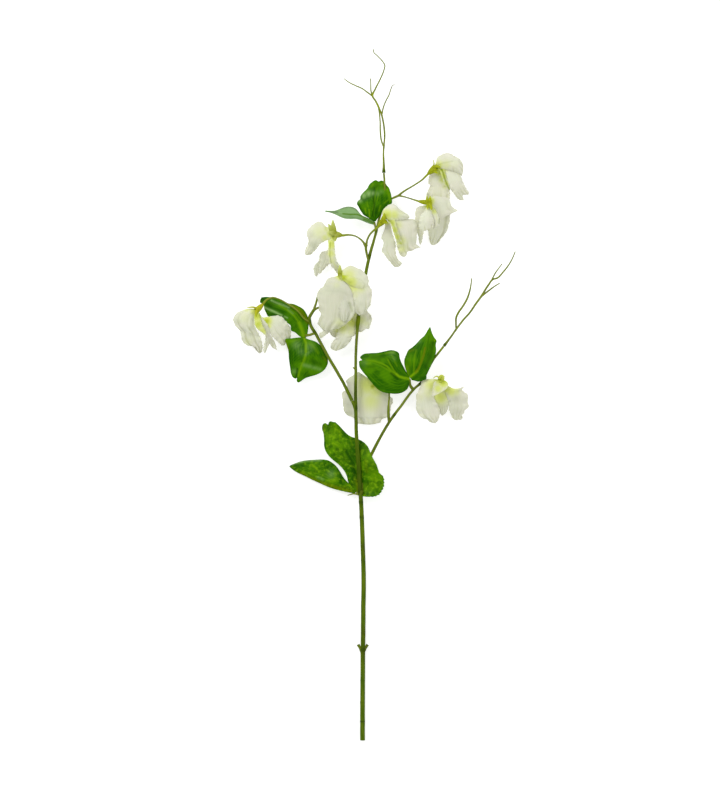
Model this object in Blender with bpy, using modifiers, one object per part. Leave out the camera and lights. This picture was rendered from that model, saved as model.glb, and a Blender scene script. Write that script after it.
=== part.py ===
"""A cut spray of white sweet pea, lying down: a branched stem, nine flowers, eight leaflets, two tendrils.

The cut end points along -Y, the top tendril along +Y, and the flowers face +Z. Every length below is in
millimetres and every angle in degrees, and the meshes are made in metres. The surface it lies on is Z = 0.
"""

import math

import bmesh
import bpy
from mathutils import Vector

MM = 0.001
WELD = 1e-6  # metres

# Driving dimensions
STEM_CUT_RADIUS = 2.15
STEM_TOP_RADIUS = 1.65
BRANCH_RADIUS = 1.15
PEDICEL_RADIUS = 0.8
TENDRIL_RADIUS = 0.75
TENDRIL_TIP_RADIUS = 0.4
PETAL_THICKNESS = 0.6
LEAF_THICKNESS = 0.8
SEAT_GAP = 0.3  # between a piece and what carries it
SOCKET_RADIUS = 1.6  # of the short boss from which a side branch grows
PETIOLE_RADIUS = 0.9
CURL_RADIUS = 0.55
SEPALS = 5
SEPAL_THICKNESS = 0.6
NOTCH_LIP = 0.3
FLOOR_DEPTH = 0.4  # of the calyx's floor below its mouth
CLAW_LENGTH = 2.6  # the narrow foot by which a petal stands in its calyx
CLAW_HALF_WIDTH = 0.7
SEAT_RADIUS = 1.7  # of the ring on which the claws stand
PETAL_GRID = (4, 7)  # faces across and along
LEAF_GRID = (6, 8)
FOLD_SHARE = 0.25  # of a petal's length, over which its fold forms

UP = Vector((0, 0, 1))

# Stem routes, from the cut end or the joint outwards
MAIN_STEM = [
    (-11.6, -345.5, 2.16), (-11.5, -300, 2.9), (-11.2, -254.5, 3.9), (-11, -204.5, 5.2), (-11.3, -150, 7.2),
    (-12.8, -110, 9), (-15.5, -70, 11.5), (-17.6, -40, 13.4), (-18.3, -12.5, 15.6), (-18.3, 15, 17.4),
    (-18, 45, 19), (-17, 62, 20), (-15.5, 80, 20.8),
]
TOP_SOCKET = [(-16.2, 71, 20.4), (-15.5, 80, 20.8)]
LEFT_SOCKET = [(-18.3, -13, 15.7), (-22, -5.2, 16.1)]
RIGHT_SOCKET = [(-14, -101, 9.6), (-11.9, -95.2, 12.1)]
NODE_STUBS = [
    [(-11.2, -257, 4), (-13, -254, 4), (-15.6, -250, 4)],
    [(-11.2, -257, 4), (-9.6, -254, 4), (-7, -250, 4)],
]
BASE_PETIOLE = [(-13.8, -99.4, 9.4), (-16, -98, 8.4), (-17.4, -97, 7.6)]
UPPER_STEM = [
    (-15.45, 80.3, 20.8), (-12.5, 95, 19), (-9.5, 110, 18.5), (-8, 122.5, 18.5), (-4.5, 139.5, 19.5),
    (2, 163, 20.5), (4.5, 174, 21), (8.5, 189, 22), (10.6, 203, 22.5), (10.4, 214, 22.5), (9.8, 222, 22.5),
]
TOP_PETIOLE = [(2.2, 163.6, 20.6), (1.2, 168, 20), (0, 172.2, 19.4)]
UPPER_LEFT_STALK = [(-5.4, 135, 19.8), (-7.4, 142, 21), (-8, 149, 22), (-7.6, 150.5, 22.4)]
PEDICEL_4 = [(-8, 148.5, 22), (-11, 153.5, 22), (-19.5, 159.4, 21), (-25.5, 160.4, 20), (-31, 160, 19.5)]
PEDICEL_3 = [(-7.8, 149, 22), (-6.6, 156, 25), (-3, 162, 27.5), (1, 165.6, 28), (4.4, 168.4, 28)]
UPPER_RIGHT_STALK = [(9, 191, 22), (13.5, 194, 22.5), (18, 196.7, 22.5), (25.4, 200, 22.5)]
PEDICEL_1 = [(24.5, 199.8, 22.5), (29, 204, 22.5), (37, 209.5, 22), (47, 215.7, 21.5), (53, 220.4, 21.5)]
PEDICEL_2 = [(24.5, 199.8, 22.5), (30, 199, 23), (37, 197, 24), (44, 194.4, 25)]

LEFT_BRANCH = [
    (-22.13, -4.93, 16.12), (-29.5, 10.5, 17), (-37, 24, 17), (-45, 37.5, 16.5), (-57, 59.5, 16),
    (-64, 72.5, 16), (-64.6, 77.5, 16), (-62.5, 81.8, 16), (-60, 85.5, 16),
]
PEDICEL_5 = [(-60.4, 85, 16), (-58, 92, 16), (-55.5, 101, 17), (-49, 113, 19), (-42, 122, 22), (-38, 125, 24)]
PEDICEL_6 = [(-60.4, 85, 16), (-56.4, 87.4, 15), (-48, 89.5, 12.5), (-40, 90, 11), (-35, 88.5, 10.5)]
PEDICEL_7 = [
    (-64.4, 73.5, 16), (-69, 76.5, 18), (-76.3, 84.5, 20), (-85.5, 91, 20.5), (-94, 95.7, 20.5),
    (-101.6, 97.7, 20.5), (-107, 95.6, 20.5), (-110.4, 92, 20.5),
]
LEFT_PETIOLE = [(-59.3, 62.5, 16), (-63.5, 60.8, 16), (-69, 59.9, 16.2)]

RIGHT_BRANCH = [
    (-11.7, -94.6, 12.35), (-10.8, -83, 14), (-7.5, -70, 14.5), (-2.2, -58, 15), (3.8, -45.5, 15.5),
    (9.5, -34.5, 16), (15, -25.5, 16.5), (26.8, -9.5, 17.5), (40, 6.7, 18), (47.5, 13.5, 18), (53, 24, 18.5),
    (59.5, 36.5, 20), (63, 41, 20.5), (69.5, 49, 21),
]
PEDICEL_8 = [
    (15, -26, 16.5), (14.4, -18, 16), (14.6, -8, 15), (15.3, 1, 14), (14.6, 9, 13), (11.5, 14.5, 12),
    (7.5, 16.6, 11.2), (5, 15.6, 11),
]
PEDICEL_9 = [(52, 22, 18.5), (55, 27.5, 19.5), (59.5, 28.6, 21), (63, 25.8, 21.6), (64.2, 23, 21.6)]
RIGHT_PETIOLE = [(40, 6.5, 18), (37.4, 10, 20.5), (36, 15.8, 24.6)]

UPPER_ROUTES = [
    UPPER_STEM, TOP_PETIOLE, UPPER_LEFT_STALK, PEDICEL_4, PEDICEL_3, UPPER_RIGHT_STALK, PEDICEL_1, PEDICEL_2,
]
LEFT_ROUTES = [LEFT_BRANCH, PEDICEL_5, PEDICEL_6, PEDICEL_7, LEFT_PETIOLE]
RIGHT_ROUTES = [RIGHT_BRANCH, PEDICEL_8, PEDICEL_9, RIGHT_PETIOLE]

TOP_TENDRIL = [
    [(9.8, 222.3, 22.5), (9.6, 234, 22.5), (9.4, 243.5, 22.5), (9.9, 250, 22.5), (10.6, 258.5, 22.5),
     (9.6, 270.5, 22.5), (7.8, 280.8, 22.5), (4.8, 289, 22.5), (1.7, 295.1, 22.5), (-1.6, 300.3, 22.5),
     (1.7, 306.3, 22), (5.8, 314.5, 21), (9.9, 324.7, 20), (10.9, 329.8, 19.5), (8.3, 334.9, 19),
     (3.8, 339.5, 18.5), (-0.8, 343.2, 18), (-0.8, 346.1, 18)],
    [(9.7, 248, 22.5), (7.5, 254, 23), (6.3, 263.5, 23.5), (6.1, 273.5, 23.5), (5.3, 283, 23),
     (4.6, 289.5, 22.5)],
    [(7.8, 280.8, 22.5), (9.4, 287.9, 23.5), (11.9, 294.1, 25), (15, 300.2, 26), (17, 306.3, 26.5),
     (18.7, 309.6, 26.5), (21.6, 309.9, 26)],
    [(-1.4, 299.9, 22.5), (-6.5, 301.7, 23), (-11.6, 306.3, 23), (-18.7, 309.9, 22), (-26, 313.6, 21),
     (-30, 316.5, 21)],
    [(-1.4, 299.7, 22.5), (-3, 304.3, 22.5), (-3.4, 310, 22), (-3.4, 316.5, 21.5)],
]
RIGHT_TENDRIL = [
    [(69.7, 49.24, 21.01), (76, 57.8, 21.5), (82.6, 67.1, 22), (88.9, 75.3, 22.5), (96, 83.2, 23),
     (101.4, 91.2, 23.5), (106.7, 98.5, 24), (113.9, 110, 24), (119.2, 116.2, 24), (122.4, 117, 24),
     (129, 123.5, 23.5), (134.4, 130.5, 23), (138.4, 137.6, 22), (141, 143.9, 21.5)],
    [(82, 66.2, 22), (81.7, 72, 22.5), (82, 78, 23), (84.4, 83.2, 24), (88.9, 89.5, 25), (93.3, 97.5, 25),
     (96, 106.5, 24), (97.6, 117.1, 23)],
    [(106.2, 98, 24), (112, 102.8, 24.5), (119.2, 108.2, 24.5), (125.5, 112.2, 24)],
    [(113.5, 109.4, 24), (117, 114.5, 25), (120.4, 121, 25), (123.7, 126, 25), (127.7, 131.5, 24.5)],
]

# Each leaflet: its midrib from the stalk to the tip, then its width left and right of the midrib at even
# steps, as seen walking towards the tip on its upper face. Positive cup bends both halves down.
LEAFLETS = {
    "leaflet_top_round": dict(
        spine=[(-0.2, 173.3, 18.4), (-1.5, 184, 15.2), (-0.5, 195, 14.6), (1, 205, 14), (2.5, 213.5, 13.4)],
        widths=[(2.5, 2), (11, 9), (14.6, 12.5), (13.5, 14.5), (9, 12.5), (3, 3.5)],
        cup=(-25, -25), bow=0.1,
    ),
    "leaflet_top_slim": dict(
        spine=[(-1.2, 172.2, 20.4), (-11, 177.4, 22), (-24, 182.2, 21), (-36, 184.3, 19), (-47, 184.8, 16.5)],
        widths=[(1, 1), (6, 5), (9, 9), (9.5, 9.5), (6, 6), (0.8, 0.8)],
        cup=(15, 15), tilt=(-45, -62), bow=0.05,
    ),
    "leaflet_left_upper": dict(
        spine=[(-70, 61.4, 16.4), (-73.5, 71, 16.4), (-81, 81.5, 16.2), (-94, 88.4, 15), (-106, 91.6, 13),
               (-113, 93.6, 11.5)],
        widths=[(3, 3), (9.5, 8.5), (8, 9.5), (6.8, 8.6), (8.5, 7.5), (3.5, 3.4)],
        cup=(20, 45), bow=0.1,
    ),
    "leaflet_left_lower": dict(
        spine=[(-69.4, 58.4, 16.2), (-68.2, 48, 16), (-68.2, 36, 15), (-72, 24, 12.5), (-76.5, 14, 9.5)],
        widths=[(4, 12), (17.5, 18.5), (22, 17), (22.5, 15.5), (16, 11.5), (2.2, 2.2)],
        cup=(20, 30), bow=0.05,
    ),
    "leaflet_right_inner": dict(
        spine=[(35, 17, 25), (24, 19.5, 26), (13, 26, 26), (-1, 32, 24), (-14, 34.4, 21)],
        widths=[(8, 2.4), (18.5, 22), (21.5, 22), (20, 17.5), (14, 11.5), (4.5, 4.5)],
        cup=(20, 25), bow=0.08,
    ),
    "leaflet_right_outer": dict(
        spine=[(37.2, 17, 25), (43, 25.5, 26.5), (47.5, 37, 27), (52, 50, 25.5), (55.8, 68.4, 22)],
        widths=[(1, 8), (10.5, 13.2), (14.5, 13.5), (12.5, 12.5), (6.4, 9.5), (0.6, 0.6)],
        cup=(-18, -25), bow=0.05,
    ),
    "leaflet_base_left": dict(
        spine=[(-18.6, -96.4, 7.4), (-30, -88.6, 7.6), (-44, -80.6, 7), (-60, -75, 5.6), (-74, -72, 4),
               (-84.6, -70.6, 2.8)],
        widths=[(1.2, 1.2), (6, 6.5), (10.4, 11.6), (9.4, 12), (6.4, 8), (0.6, 0.6)],
        cup=(18, 15), bow=0.05,
    ),
    "leaflet_base_right": dict(
        spine=[(-16, -96.6, 6.9), (-14, -84, 7.4), (-20, -69, 7.6), (-29.5, -55, 6.6), (-38, -42.5, 4.6),
               (-47, -29, 2.4)],
        widths=[(1.4, 15), (10.5, 25), (12, 22), (14.8, 19.5), (12, 12.5), (4.5, 4.6)],
        cup=(14, 14), bow=0.05,
    ),
}

# Each flower: its calyx, and its petals. A petal stands in one of the five notches between the sepals: 0 is
# the uppermost, and they count towards the left of the calyx's axis. It follows its spine from there. Its
# widths are given as for a leaflet, from the end of its narrow claw.
FLOWERS = {
    "flower_1": dict(
        calyx=dict(base=(53.6, 220.9, 21.5), mouth=(60.5, 227.4, 22.5), radius=3.7, sepal=3.2, flare=20),
        petals={
            "standard": dict(
                notch=1, spine=[(66.5, 234.4, 26.5), (76, 235.4, 29.5), (84, 230.5, 28.5), (87.4, 220.6, 24)],
                widths=[(5.3, 6.4), (9.4, 10.1), (9.6, 10.1), (9, 9.4), (5.3, 5.3)], cup=(15, 40),
            ),
            "keel": dict(
                notch=0, spine=[(66.6, 228.8, 29.4), (68.8, 219.6, 30.4), (71.6, 212, 29.4), (75, 206, 27.6)],
                widths=[(1.9, 1.9), (2.9, 2.9), (3.4, 3.4), (2.9, 2.9), (1.1, 1.1)], fold=50,
            ),
            "right_wing": dict(
                notch=4, spine=[(70.4, 225.4, 23), (77, 216.6, 20.4), (83, 208, 17.6), (88.4, 197.6, 12.6)],
                widths=[(4.7, 3.6), (10.5, 9), (11.9, 10.8), (11.2, 10.5), (7, 5.7)], cup=(10, 22),
            ),
            "left_wing": dict(
                notch=3, spine=[(65.2, 225.8, 16.4), (62.4, 217, 14.4), (62, 207, 12), (63.6, 196, 8)],
                widths=[(2.6, 2.4), (9.4, 8.5), (10.8, 10.5), (12.3, 11.9), (11.7, 11.2)], cup=(10, 12),
            ),
        },
    ),
    "flower_2": dict(
        calyx=dict(base=(44.8, 194.2, 25.1), mouth=(54, 192.6, 26), radius=3.9, sepal=4.2, flare=62),
        petals={
            "standard": dict(
                notch=2, spine=[(62, 192.4, 20.4), (67, 186, 17.6), (67.4, 176, 14), (65, 164, 8),
                                (60.4, 151.6, 0.4)],
                widths=[(5.3, 4.2), (11.2, 10.5), (11.2, 10.8), (9.4, 11.6), (8.3, 10.8), (4.2, 4.2)],
                cup=(12, 20),
            ),
            "right_wing": dict(
                notch=4, spine=[(57.6, 186, 29.6), (55.6, 178, 32), (54.6, 167, 30)],
                widths=[(3.6, 3.6), (10.1, 10.1), (12.3, 12.3), (11.9, 11.9), (7.4, 7.4)], cup=(30, 50),
            ),
            "left_wing": dict(
                notch=3, spine=[(57, 188.2, 20.4), (51.4, 186, 17.6), (45, 180.5, 18), (44.2, 170, 17),
                                (45, 160, 14.6), (46, 151, 12)],
                widths=[(1.5, 1.5), (4.5, 4.5), (5.6, 5.6), (4.9, 4.9), (3.4, 3.4), (1.3, 1.3)], cup=(10, 15),
            ),
            "keel": dict(
                notch=0, spine=[(62, 189.6, 30.6), (68, 183, 27.6), (70, 174.5, 23)],
                widths=[(1.9, 1.9), (2.9, 2.9), (3.1, 3.1), (1.3, 1.3)], fold=50,
            ),
        },
    ),
    "flower_3": dict(
        calyx=dict(base=(4.8, 168.8, 28.1), mouth=(10.8, 174.8, 28.6), radius=3.9, sepal=3, flare=15),
        petals={
            "standard": dict(
                notch=1, spine=[(16, 182, 31.4), (24, 182.6, 33), (33.6, 176.6, 29.6)],
                widths=[(4.9, 5.3), (9.2, 9.2), (9.4, 9), (4.2, 4.2)], cup=(15, 40),
            ),
            "keel": dict(
                notch=0, spine=[(17, 175, 33.6), (20.4, 167, 35), (24.4, 157.6, 34), (28.4, 148.4, 31)],
                widths=[(1.9, 1.9), (3.6, 3.6), (5.2, 5.2), (5.2, 5.2), (1.7, 1.7)], fold=40,
            ),
            "right_wing": dict(
                notch=4, spine=[(20.8, 174.4, 29.4), (27, 166, 26), (31.4, 157, 22.6), (32.6, 148, 19),
                                (32.6, 139.6, 14.6)],
                widths=[(3.2, 3.2), (10.1, 8.3), (13, 11.2), (12.8, 11.6), (11.2, 10.5), (4.7, 4.7)],
                cup=(10, 18),
            ),
            "left_wing": dict(
                notch=3, spine=[(18.6, 174.6, 21.6), (14.8, 164, 20), (14, 154, 19.4), (15, 144, 15.6),
                                (18, 136, 13), (24, 129.6, 9.6)],
                widths=[(1.5, 1.5), (5.2, 5.2), (7.6, 6.9), (8.5, 7.8), (7.4, 7.4), (3.2, 3.2)], cup=(12, 20),
            ),
        },
    ),
    "flower_4": dict(
        calyx=dict(base=(-31.6, 159.9, 19.4), mouth=(-39.5, 160.8, 19.6), radius=4, sepal=6.5, flare=68),
        petals={
            "standard": dict(
                notch=4, spine=[(-49, 165, 24.6), (-58, 163, 26), (-63, 153.6, 22.6), (-66, 142, 16)],
                widths=[(4.2, 4.2), (10.8, 9.6), (10.8, 9.9), (7.8, 6.9), (3.8, 3.8)], cup=(15, 40),
            ),
            "keel": dict(
                notch=1, spine=[(-43.4, 151.4, 22.4), (-43, 143, 21.4), (-41, 134, 19.4), (-38, 127.4, 17.4),
                                (-35, 122, 15)],
                widths=[(1.9, 1.9), (3.8, 3.8), (4.3, 4.3), (4.7, 4.7), (5.6, 5.6), (2.8, 2.8)], cup=(45, 50),
            ),
            "right_wing": dict(
                notch=2, spine=[(-44.6, 152.6, 15), (-46, 145, 13), (-49.4, 136.6, 11), (-51.6, 129, 8.6),
                                (-53, 121.6, 5.6)],
                widths=[(1.7, 1.7), (3.4, 3.4), (6.3, 6.3), (7.4, 7.4), (5.6, 5.6), (1.9, 1.9)], cup=(10, 15),
            ),
            "left_wing": dict(
                notch=3, spine=[(-44.4, 160, 12), (-49.6, 148, 8), (-54.6, 136.6, 4.6), (-57.6, 128, 2.4),
                                (-58.4, 119, 0.4)],
                widths=[(1.7, 1.7), (2.9, 2.9), (3.8, 3.8), (4.7, 4.7), (4.3, 4.3), (2.1, 2.1)], cup=(10, 10),
            ),
        },
    ),
    "flower_5": dict(
        calyx=dict(base=(-37.4, 125.1, 24.8), mouth=(-33.4, 121.9, 29.6), radius=3.8, sepal=3, flare=30),
        petals={
            "standard": dict(
                notch=1, spine=[(-26.4, 122, 34), (-17.6, 117.4, 35.4), (-11.6, 107, 34.4), (-11, 95, 31.6),
                                (-14, 82.6, 27.6)],
                widths=[(3.8, 3.8), (10.5, 9.4), (11.6, 10.8), (10.5, 10.8), (10.1, 10.5), (5.3, 5.3)],
                cup=(15, 35),
            ),
            "keel": dict(
                notch=2, spine=[(-26, 116.6, 38.4), (-20, 110.6, 40.4), (-14.6, 103, 39.6)],
                widths=[(1.9, 1.9), (3.1, 3.1), (2.9, 2.9), (1.1, 1.1)], fold=45,
            ),
            "right_wing": dict(
                notch=3, spine=[(-29.6, 111.4, 38.6), (-28, 101, 42.4), (-28, 89, 42), (-30, 76.4, 38)],
                widths=[(2.5, 2.5), (5.6, 5.6), (8.3, 8.3), (9, 9), (4.7, 4.7)], cup=(30, 55),
            ),
            "left_wing": dict(
                notch=4, spine=[(-37.4, 114, 35.6), (-40.6, 106, 36), (-41.4, 95, 35.4), (-40, 82, 34.4),
                                (-38.4, 68.4, 29)],
                widths=[(4.2, 4.2), (12.8, 11.2), (17.2, 16.4), (19.7, 19), (19.7, 19.7), (12.7, 12.7)],
                cup=(12, 22),
            ),
        },
    ),
    "flower_6": dict(
        calyx=dict(base=(-34.4, 87.8, 10.4), mouth=(-31.8, 81.8, 10.6), radius=3.6, sepal=2.6, flare=20),
        petals={
            "standard": dict(
                notch=0, spine=[(-31, 70.6, 15.4), (-30, 61, 15), (-32, 52, 12.4), (-36, 43.4, 8.6)],
                widths=[(4.2, 4.2), (9.4, 9.4), (10.5, 9.4), (10.1, 9.6), (5.9, 5.9)], cup=(15, 22),
            ),
            "right_wing": dict(
                notch=1, spine=[(-23.6, 78, 12.4), (-14, 74.6, 12), (-3.6, 73, 9.6)],
                widths=[(3.2, 3.2), (9.6, 10.1), (12.8, 12.8), (12.3, 12.3), (7.4, 7.4)], cup=(8, 12),
            ),
            "left_wing": dict(
                notch=4, spine=[(-36.6, 74, 11.6), (-40, 67.4, 10.6), (-40.4, 58, 7.6)],
                widths=[(3.2, 3.2), (6.3, 6.3), (6.7, 6.7), (3.2, 3.2)], cup=(8, 15),
            ),
            "keel": dict(
                notch=3, spine=[(-38, 72.4, 6), (-43.6, 66.4, 4.4), (-49, 62.4, 3.2), (-55, 57.4, 2)],
                widths=[(1.5, 1.5), (2.9, 2.9), (3.6, 3.6), (3.1, 3.1), (1.3, 1.3)], fold=15,
            ),
        },
    ),
    "flower_7": dict(
        calyx=dict(base=(-110.8, 91.4, 20.5), mouth=(-116.4, 84.6, 20.5), radius=3.6, sepal=4.6, flare=35),
        petals={
            "standard": dict(
                notch=4, spine=[(-124.6, 78.6, 22.4), (-128.6, 70, 20.6), (-125, 60, 16), (-120, 52, 11),
                                (-115.4, 43.4, 5)],
                widths=[(4.2, 4.2), (10.8, 13.4), (12.3, 13), (10.8, 11.2), (8.5, 9.4), (4.2, 4.2)],
                cup=(12, 22),
            ),
            "keel": dict(
                notch=0, spine=[(-118, 77, 26), (-115.4, 69.4, 27), (-108.8, 59.4, 24)],
                widths=[(1.9, 1.9), (3.8, 3.8), (4, 4), (1.5, 1.5)], fold=30,
            ),
            "left_wing": dict(
                notch=1, spine=[(-112.6, 73.6, 21.6), (-107, 62, 19.6), (-106.8, 51.4, 15),
                                (-109.4, 42, 9.6)],
                widths=[(1.7, 1.7), (2.7, 2.7), (3.4, 3.4), (3.6, 3.6), (1.9, 1.9)], cup=(15, 20),
            ),
            "right_wing": dict(
                notch=2, spine=[(-112.6, 77.6, 15.6), (-104.6, 71.4, 14), (-97, 66, 10.6),
                                (-88.6, 58.4, 3.4)],
                widths=[(2.5, 2.5), (9.6, 8.5), (14.1, 12.3), (15, 11.9), (9.5, 6.4)], cup=(10, 15),
            ),
        },
    ),
    "flower_8": dict(
        calyx=dict(base=(4.4, 15.1, 10.9), mouth=(-1.2, 10.4, 10.5), radius=3.6, sepal=2.6, flare=20),
        petals={
            "standard": dict(
                notch=3, spine=[(-5.4, 2, 4.6), (-6, -8, 3), (-6.4, -18, 1.8), (-6.4, -28, 0.7)],
                widths=[(5.3, 5.3), (15, 15), (20.2, 19), (20.2, 19), (13.4, 13.4)], cup=(5, 6),
            ),
            "right_wing": dict(
                notch=1, spine=[(3, 1.4, 11.6), (9, -8, 9.6), (10.6, -20, 6)],
                widths=[(4.2, 4.2), (9, 8.5), (9, 8.5), (4.7, 4.7)], cup=(10, 15),
            ),
            "keel": dict(
                notch=0, spine=[(-5.4, 2, 13.4), (-6, -7, 12.6), (-5.6, -16, 9.6)],
                widths=[(2.8, 2.8), (5.4, 5.4), (5.6, 5.6), (2.5, 2.5)], fold=25,
            ),
            "left_wing": dict(
                notch=4, spine=[(-11.6, 9.4, 9.4), (-20, 5, 8.8), (-26, -8, 6.4)],
                widths=[(4.2, 4.2), (11.9, 10.1), (13.9, 11.2), (7.4, 7.4)], cup=(10, 15),
            ),
        },
    ),
    "flower_9": dict(
        calyx=dict(base=(64.4, 22.5, 21.6), mouth=(64.9, 16.6, 21), radius=4, sepal=3, flare=40),
        petals={
            "standard": dict(
                notch=0, spine=[(64.4, 10, 27.6), (62.6, 4.4, 29), (62, -1.6, 27.4)],
                widths=[(4.2, 4.2), (9.6, 9.6), (9.6, 9.6), (5.9, 5.9)], cup=(20, 40),
            ),
            "keel": dict(
                notch=2, spine=[(66.6, 6, 15), (68, -7, 9.4), (68.6, -20, 4)],
                widths=[(1.7, 1.7), (4.9, 4.9), (6.7, 6.7), (3.6, 3.6)], cup=(15, 25),
            ),
            "right_wing": dict(
                notch=1, spine=[(74, 8, 20.4), (82, 1, 18), (85.4, -10.4, 12), (84.4, -24.4, 4)],
                widths=[(3.6, 4.2), (12.3, 10.8), (14.1, 13), (11.9, 11.9), (6.8, 6.8)], cup=(10, 20),
            ),
            "left_wing": dict(
                notch=4, spine=[(57, 10, 21.4), (52.6, 0, 21.4), (53, -12, 17.4), (58, -26, 10)],
                widths=[(4.9, 4.9), (12.3, 11.9), (13.9, 13), (12.3, 13), (7, 7)], cup=(10, 22),
            ),
        },
    ),
}

# The finish of each kind of piece: colour, roughness
FINISHES = {
    "stem": ((0.16, 0.22, 0.03), 0.5),
    "leaf": ((0.05, 0.19, 0.02), 0.35),
    "calyx": ((0.38, 0.48, 0.05), 0.55),
    "standard": ((0.86, 0.87, 0.74), 0.7),
    "wing": ((0.88, 0.88, 0.84), 0.7),
    "keel": ((0.74, 0.80, 0.42), 0.7),
}


def clear_scene():
    for existing in list(bpy.data.objects):
        bpy.data.objects.remove(existing, do_unlink=True)


def new_collection(name):
    made = bpy.data.collections.new(name)
    bpy.context.scene.collection.children.link(made)
    return made


def new_material(name):
    colour, roughness = FINISHES[name]
    material = bpy.data.materials.new(name)
    material.use_nodes = True
    shader = material.node_tree.nodes["Principled BSDF"]
    shader.inputs["Base Color"].default_value = (*colour, 1)
    shader.inputs["Roughness"].default_value = roughness
    shader.inputs["Metallic"].default_value = 0
    return material


def add_object(name, data, material, collection):
    made = bpy.data.objects.new(name, data)
    if not data.materials:
        data.materials.append(material)
    collection.objects.link(made)
    return made


def smooth_curve(knots):
    """A function of 0 to 1 that runs smoothly through the knots, at a speed even in their chords."""
    knots = [Vector(knot) for knot in knots]
    gaps = [max((b - a).length, 1e-6) for a, b in zip(knots, knots[1:])]
    slopes = [(b - a) / gap for a, b, gap in zip(knots, knots[1:], gaps)]
    tangents = [slopes[0]]
    for before, after, gap_before, gap_after in zip(slopes, slopes[1:], gaps, gaps[1:]):
        tangents.append((before * gap_after + after * gap_before) / (gap_before + gap_after))
    tangents.append(slopes[-1])
    length = sum(gaps)

    def at(share):
        left = min(max(share, 0), 1) * length
        span = 0
        while span < len(gaps) - 1 and left > gaps[span]:
            left -= gaps[span]
            span += 1
        gap = gaps[span]
        t = min(left / gap, 1)
        return (
            knots[span] * (2 * t**3 - 3 * t**2 + 1)
            + tangents[span] * gap * (t**3 - 2 * t**2 + t)
            + knots[span + 1] * (3 * t**2 - 2 * t**3)
            + tangents[span + 1] * gap * (t**3 - t**2)
        )

    return at, length


def even_steps(values):
    """A function of 0 to 1 that runs smoothly through values set at even steps."""
    last = len(values) - 1

    def at(share):
        place = min(max(share, 0), 1) * last
        step = min(int(place), last - 1)
        t = place - step
        before, start, end, after = (values[min(max(step + k, 0), last)] for k in (-1, 0, 1, 2))
        curve = 2 * before - 5 * start + 4 * end - after + t * (3 * (start - end) + after - before)
        return start + 0.5 * t * (end - before + t * curve)

    return at


def tube(name, route, radii, step, material, collection, bevel_resolution=1):
    """A round stalk that tapers along a route, as a mesh with welded caps."""
    at, length = smooth_curve(route)
    count = max(2, round(length / step))
    curve = bpy.data.curves.new(name, "CURVE")
    curve.dimensions = "3D"
    curve.bevel_depth = MM
    curve.bevel_resolution = bevel_resolution
    curve.use_fill_caps = True
    spline = curve.splines.new("POLY")
    spline.points.add(count)
    for index, point in enumerate(spline.points):
        share = index / count
        point.co = (*(at(share) * MM), 1)
        point.radius = radii[0] + (radii[1] - radii[0]) * share
    guide = bpy.data.objects.new(name + "_route", curve)
    collection.objects.link(guide)
    evaluated = guide.evaluated_get(bpy.context.evaluated_depsgraph_get())
    mesh = bpy.data.meshes.new_from_object(evaluated)
    mesh.name = name
    bpy.data.objects.remove(guide)
    shape = bmesh.new()
    shape.from_mesh(mesh)
    bmesh.ops.remove_doubles(shape, verts=shape.verts, dist=WELD)
    bmesh.ops.recalc_face_normals(shape, faces=shape.faces)
    shape.to_mesh(mesh)
    shape.free()
    mesh.shade_smooth()
    return add_object(name, mesh, material, collection)


def join_to(piece, cutters):
    """Unions hidden helper shapes into a piece."""
    for helper in cutters:
        helper.hide_render = True
        helper.display_type = "WIRE"
        union = piece.modifiers.new(helper.name, "BOOLEAN")
        union.operation = "UNION"
        union.object = helper


def across(direction):
    """Unit vectors to the left of a direction and above it, both square to it."""
    left = UP.cross(direction)
    left = left.normalized() if left.length > 1e-3 else Vector((-1, 0, 0))
    return left, direction.cross(left).normalized()


def blade_mesh(name, spine, widths, grid, cup=(0, 0), fold=0, tilt=(0, 0), bow=0.12, claw=0):
    """A petal's or leaf's open surface: a grid swept along the spine, bent down on both sides of it.

    Its cup is how far each half bends at the start and at the tip, its fold how steeply both halves start
    down, its tilt how far the whole rolls about the spine at the start and at the tip, and its bow how much
    the outer parts of each row lag behind the spine.
    """
    at, length = smooth_curve(spine)
    claw_share = claw / length
    width_at = [even_steps(values) for values in zip(*widths)]
    shape = bmesh.new()
    bmesh.ops.create_grid(shape, x_segments=grid[0], y_segments=grid[1], size=1)
    for vert in shape.verts:
        side = 1 if vert.co.x > 0 else -1
        aside, row = abs(vert.co.x), (vert.co.y + 1) / 2
        share = row * (1 - bow * aside**2 * row)
        flat_left, flat_face = across((at(share + 0.01) - at(share - 0.01)).normalized())
        turn = math.radians(tilt[0] + (tilt[1] - tilt[0]) * share)
        left = flat_left * math.cos(turn) + flat_face * math.sin(turn)
        face = flat_face * math.cos(turn) - flat_left * math.sin(turn)
        open_share = max(share - claw_share, 0) / (1 - claw_share)
        reach = width_at[0 if side > 0 else 1](open_share) * aside
        start = math.radians(fold) * min(open_share / FOLD_SHARE, 1)
        bend = math.radians(cup[0] + (cup[1] - cup[0]) * open_share) * aside + 1e-6
        out = reach * (math.sin(start + bend) - math.sin(start)) / bend
        down = reach * (math.cos(start) - math.cos(start + bend)) / bend
        vert.co = (at(share) + left * out * side - face * down) * MM
    mesh = bpy.data.meshes.new(name)
    shape.to_mesh(mesh)
    shape.free()
    mesh.shade_smooth()
    return mesh


def blade(name, mesh, thickness, material, collection):
    made = add_object(name, mesh, material, collection)
    wall = made.modifiers.new("wall", "SOLIDIFY")
    wall.thickness = thickness * MM
    wall.offset = 0
    wall.use_even_offset = True
    return made


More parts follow.
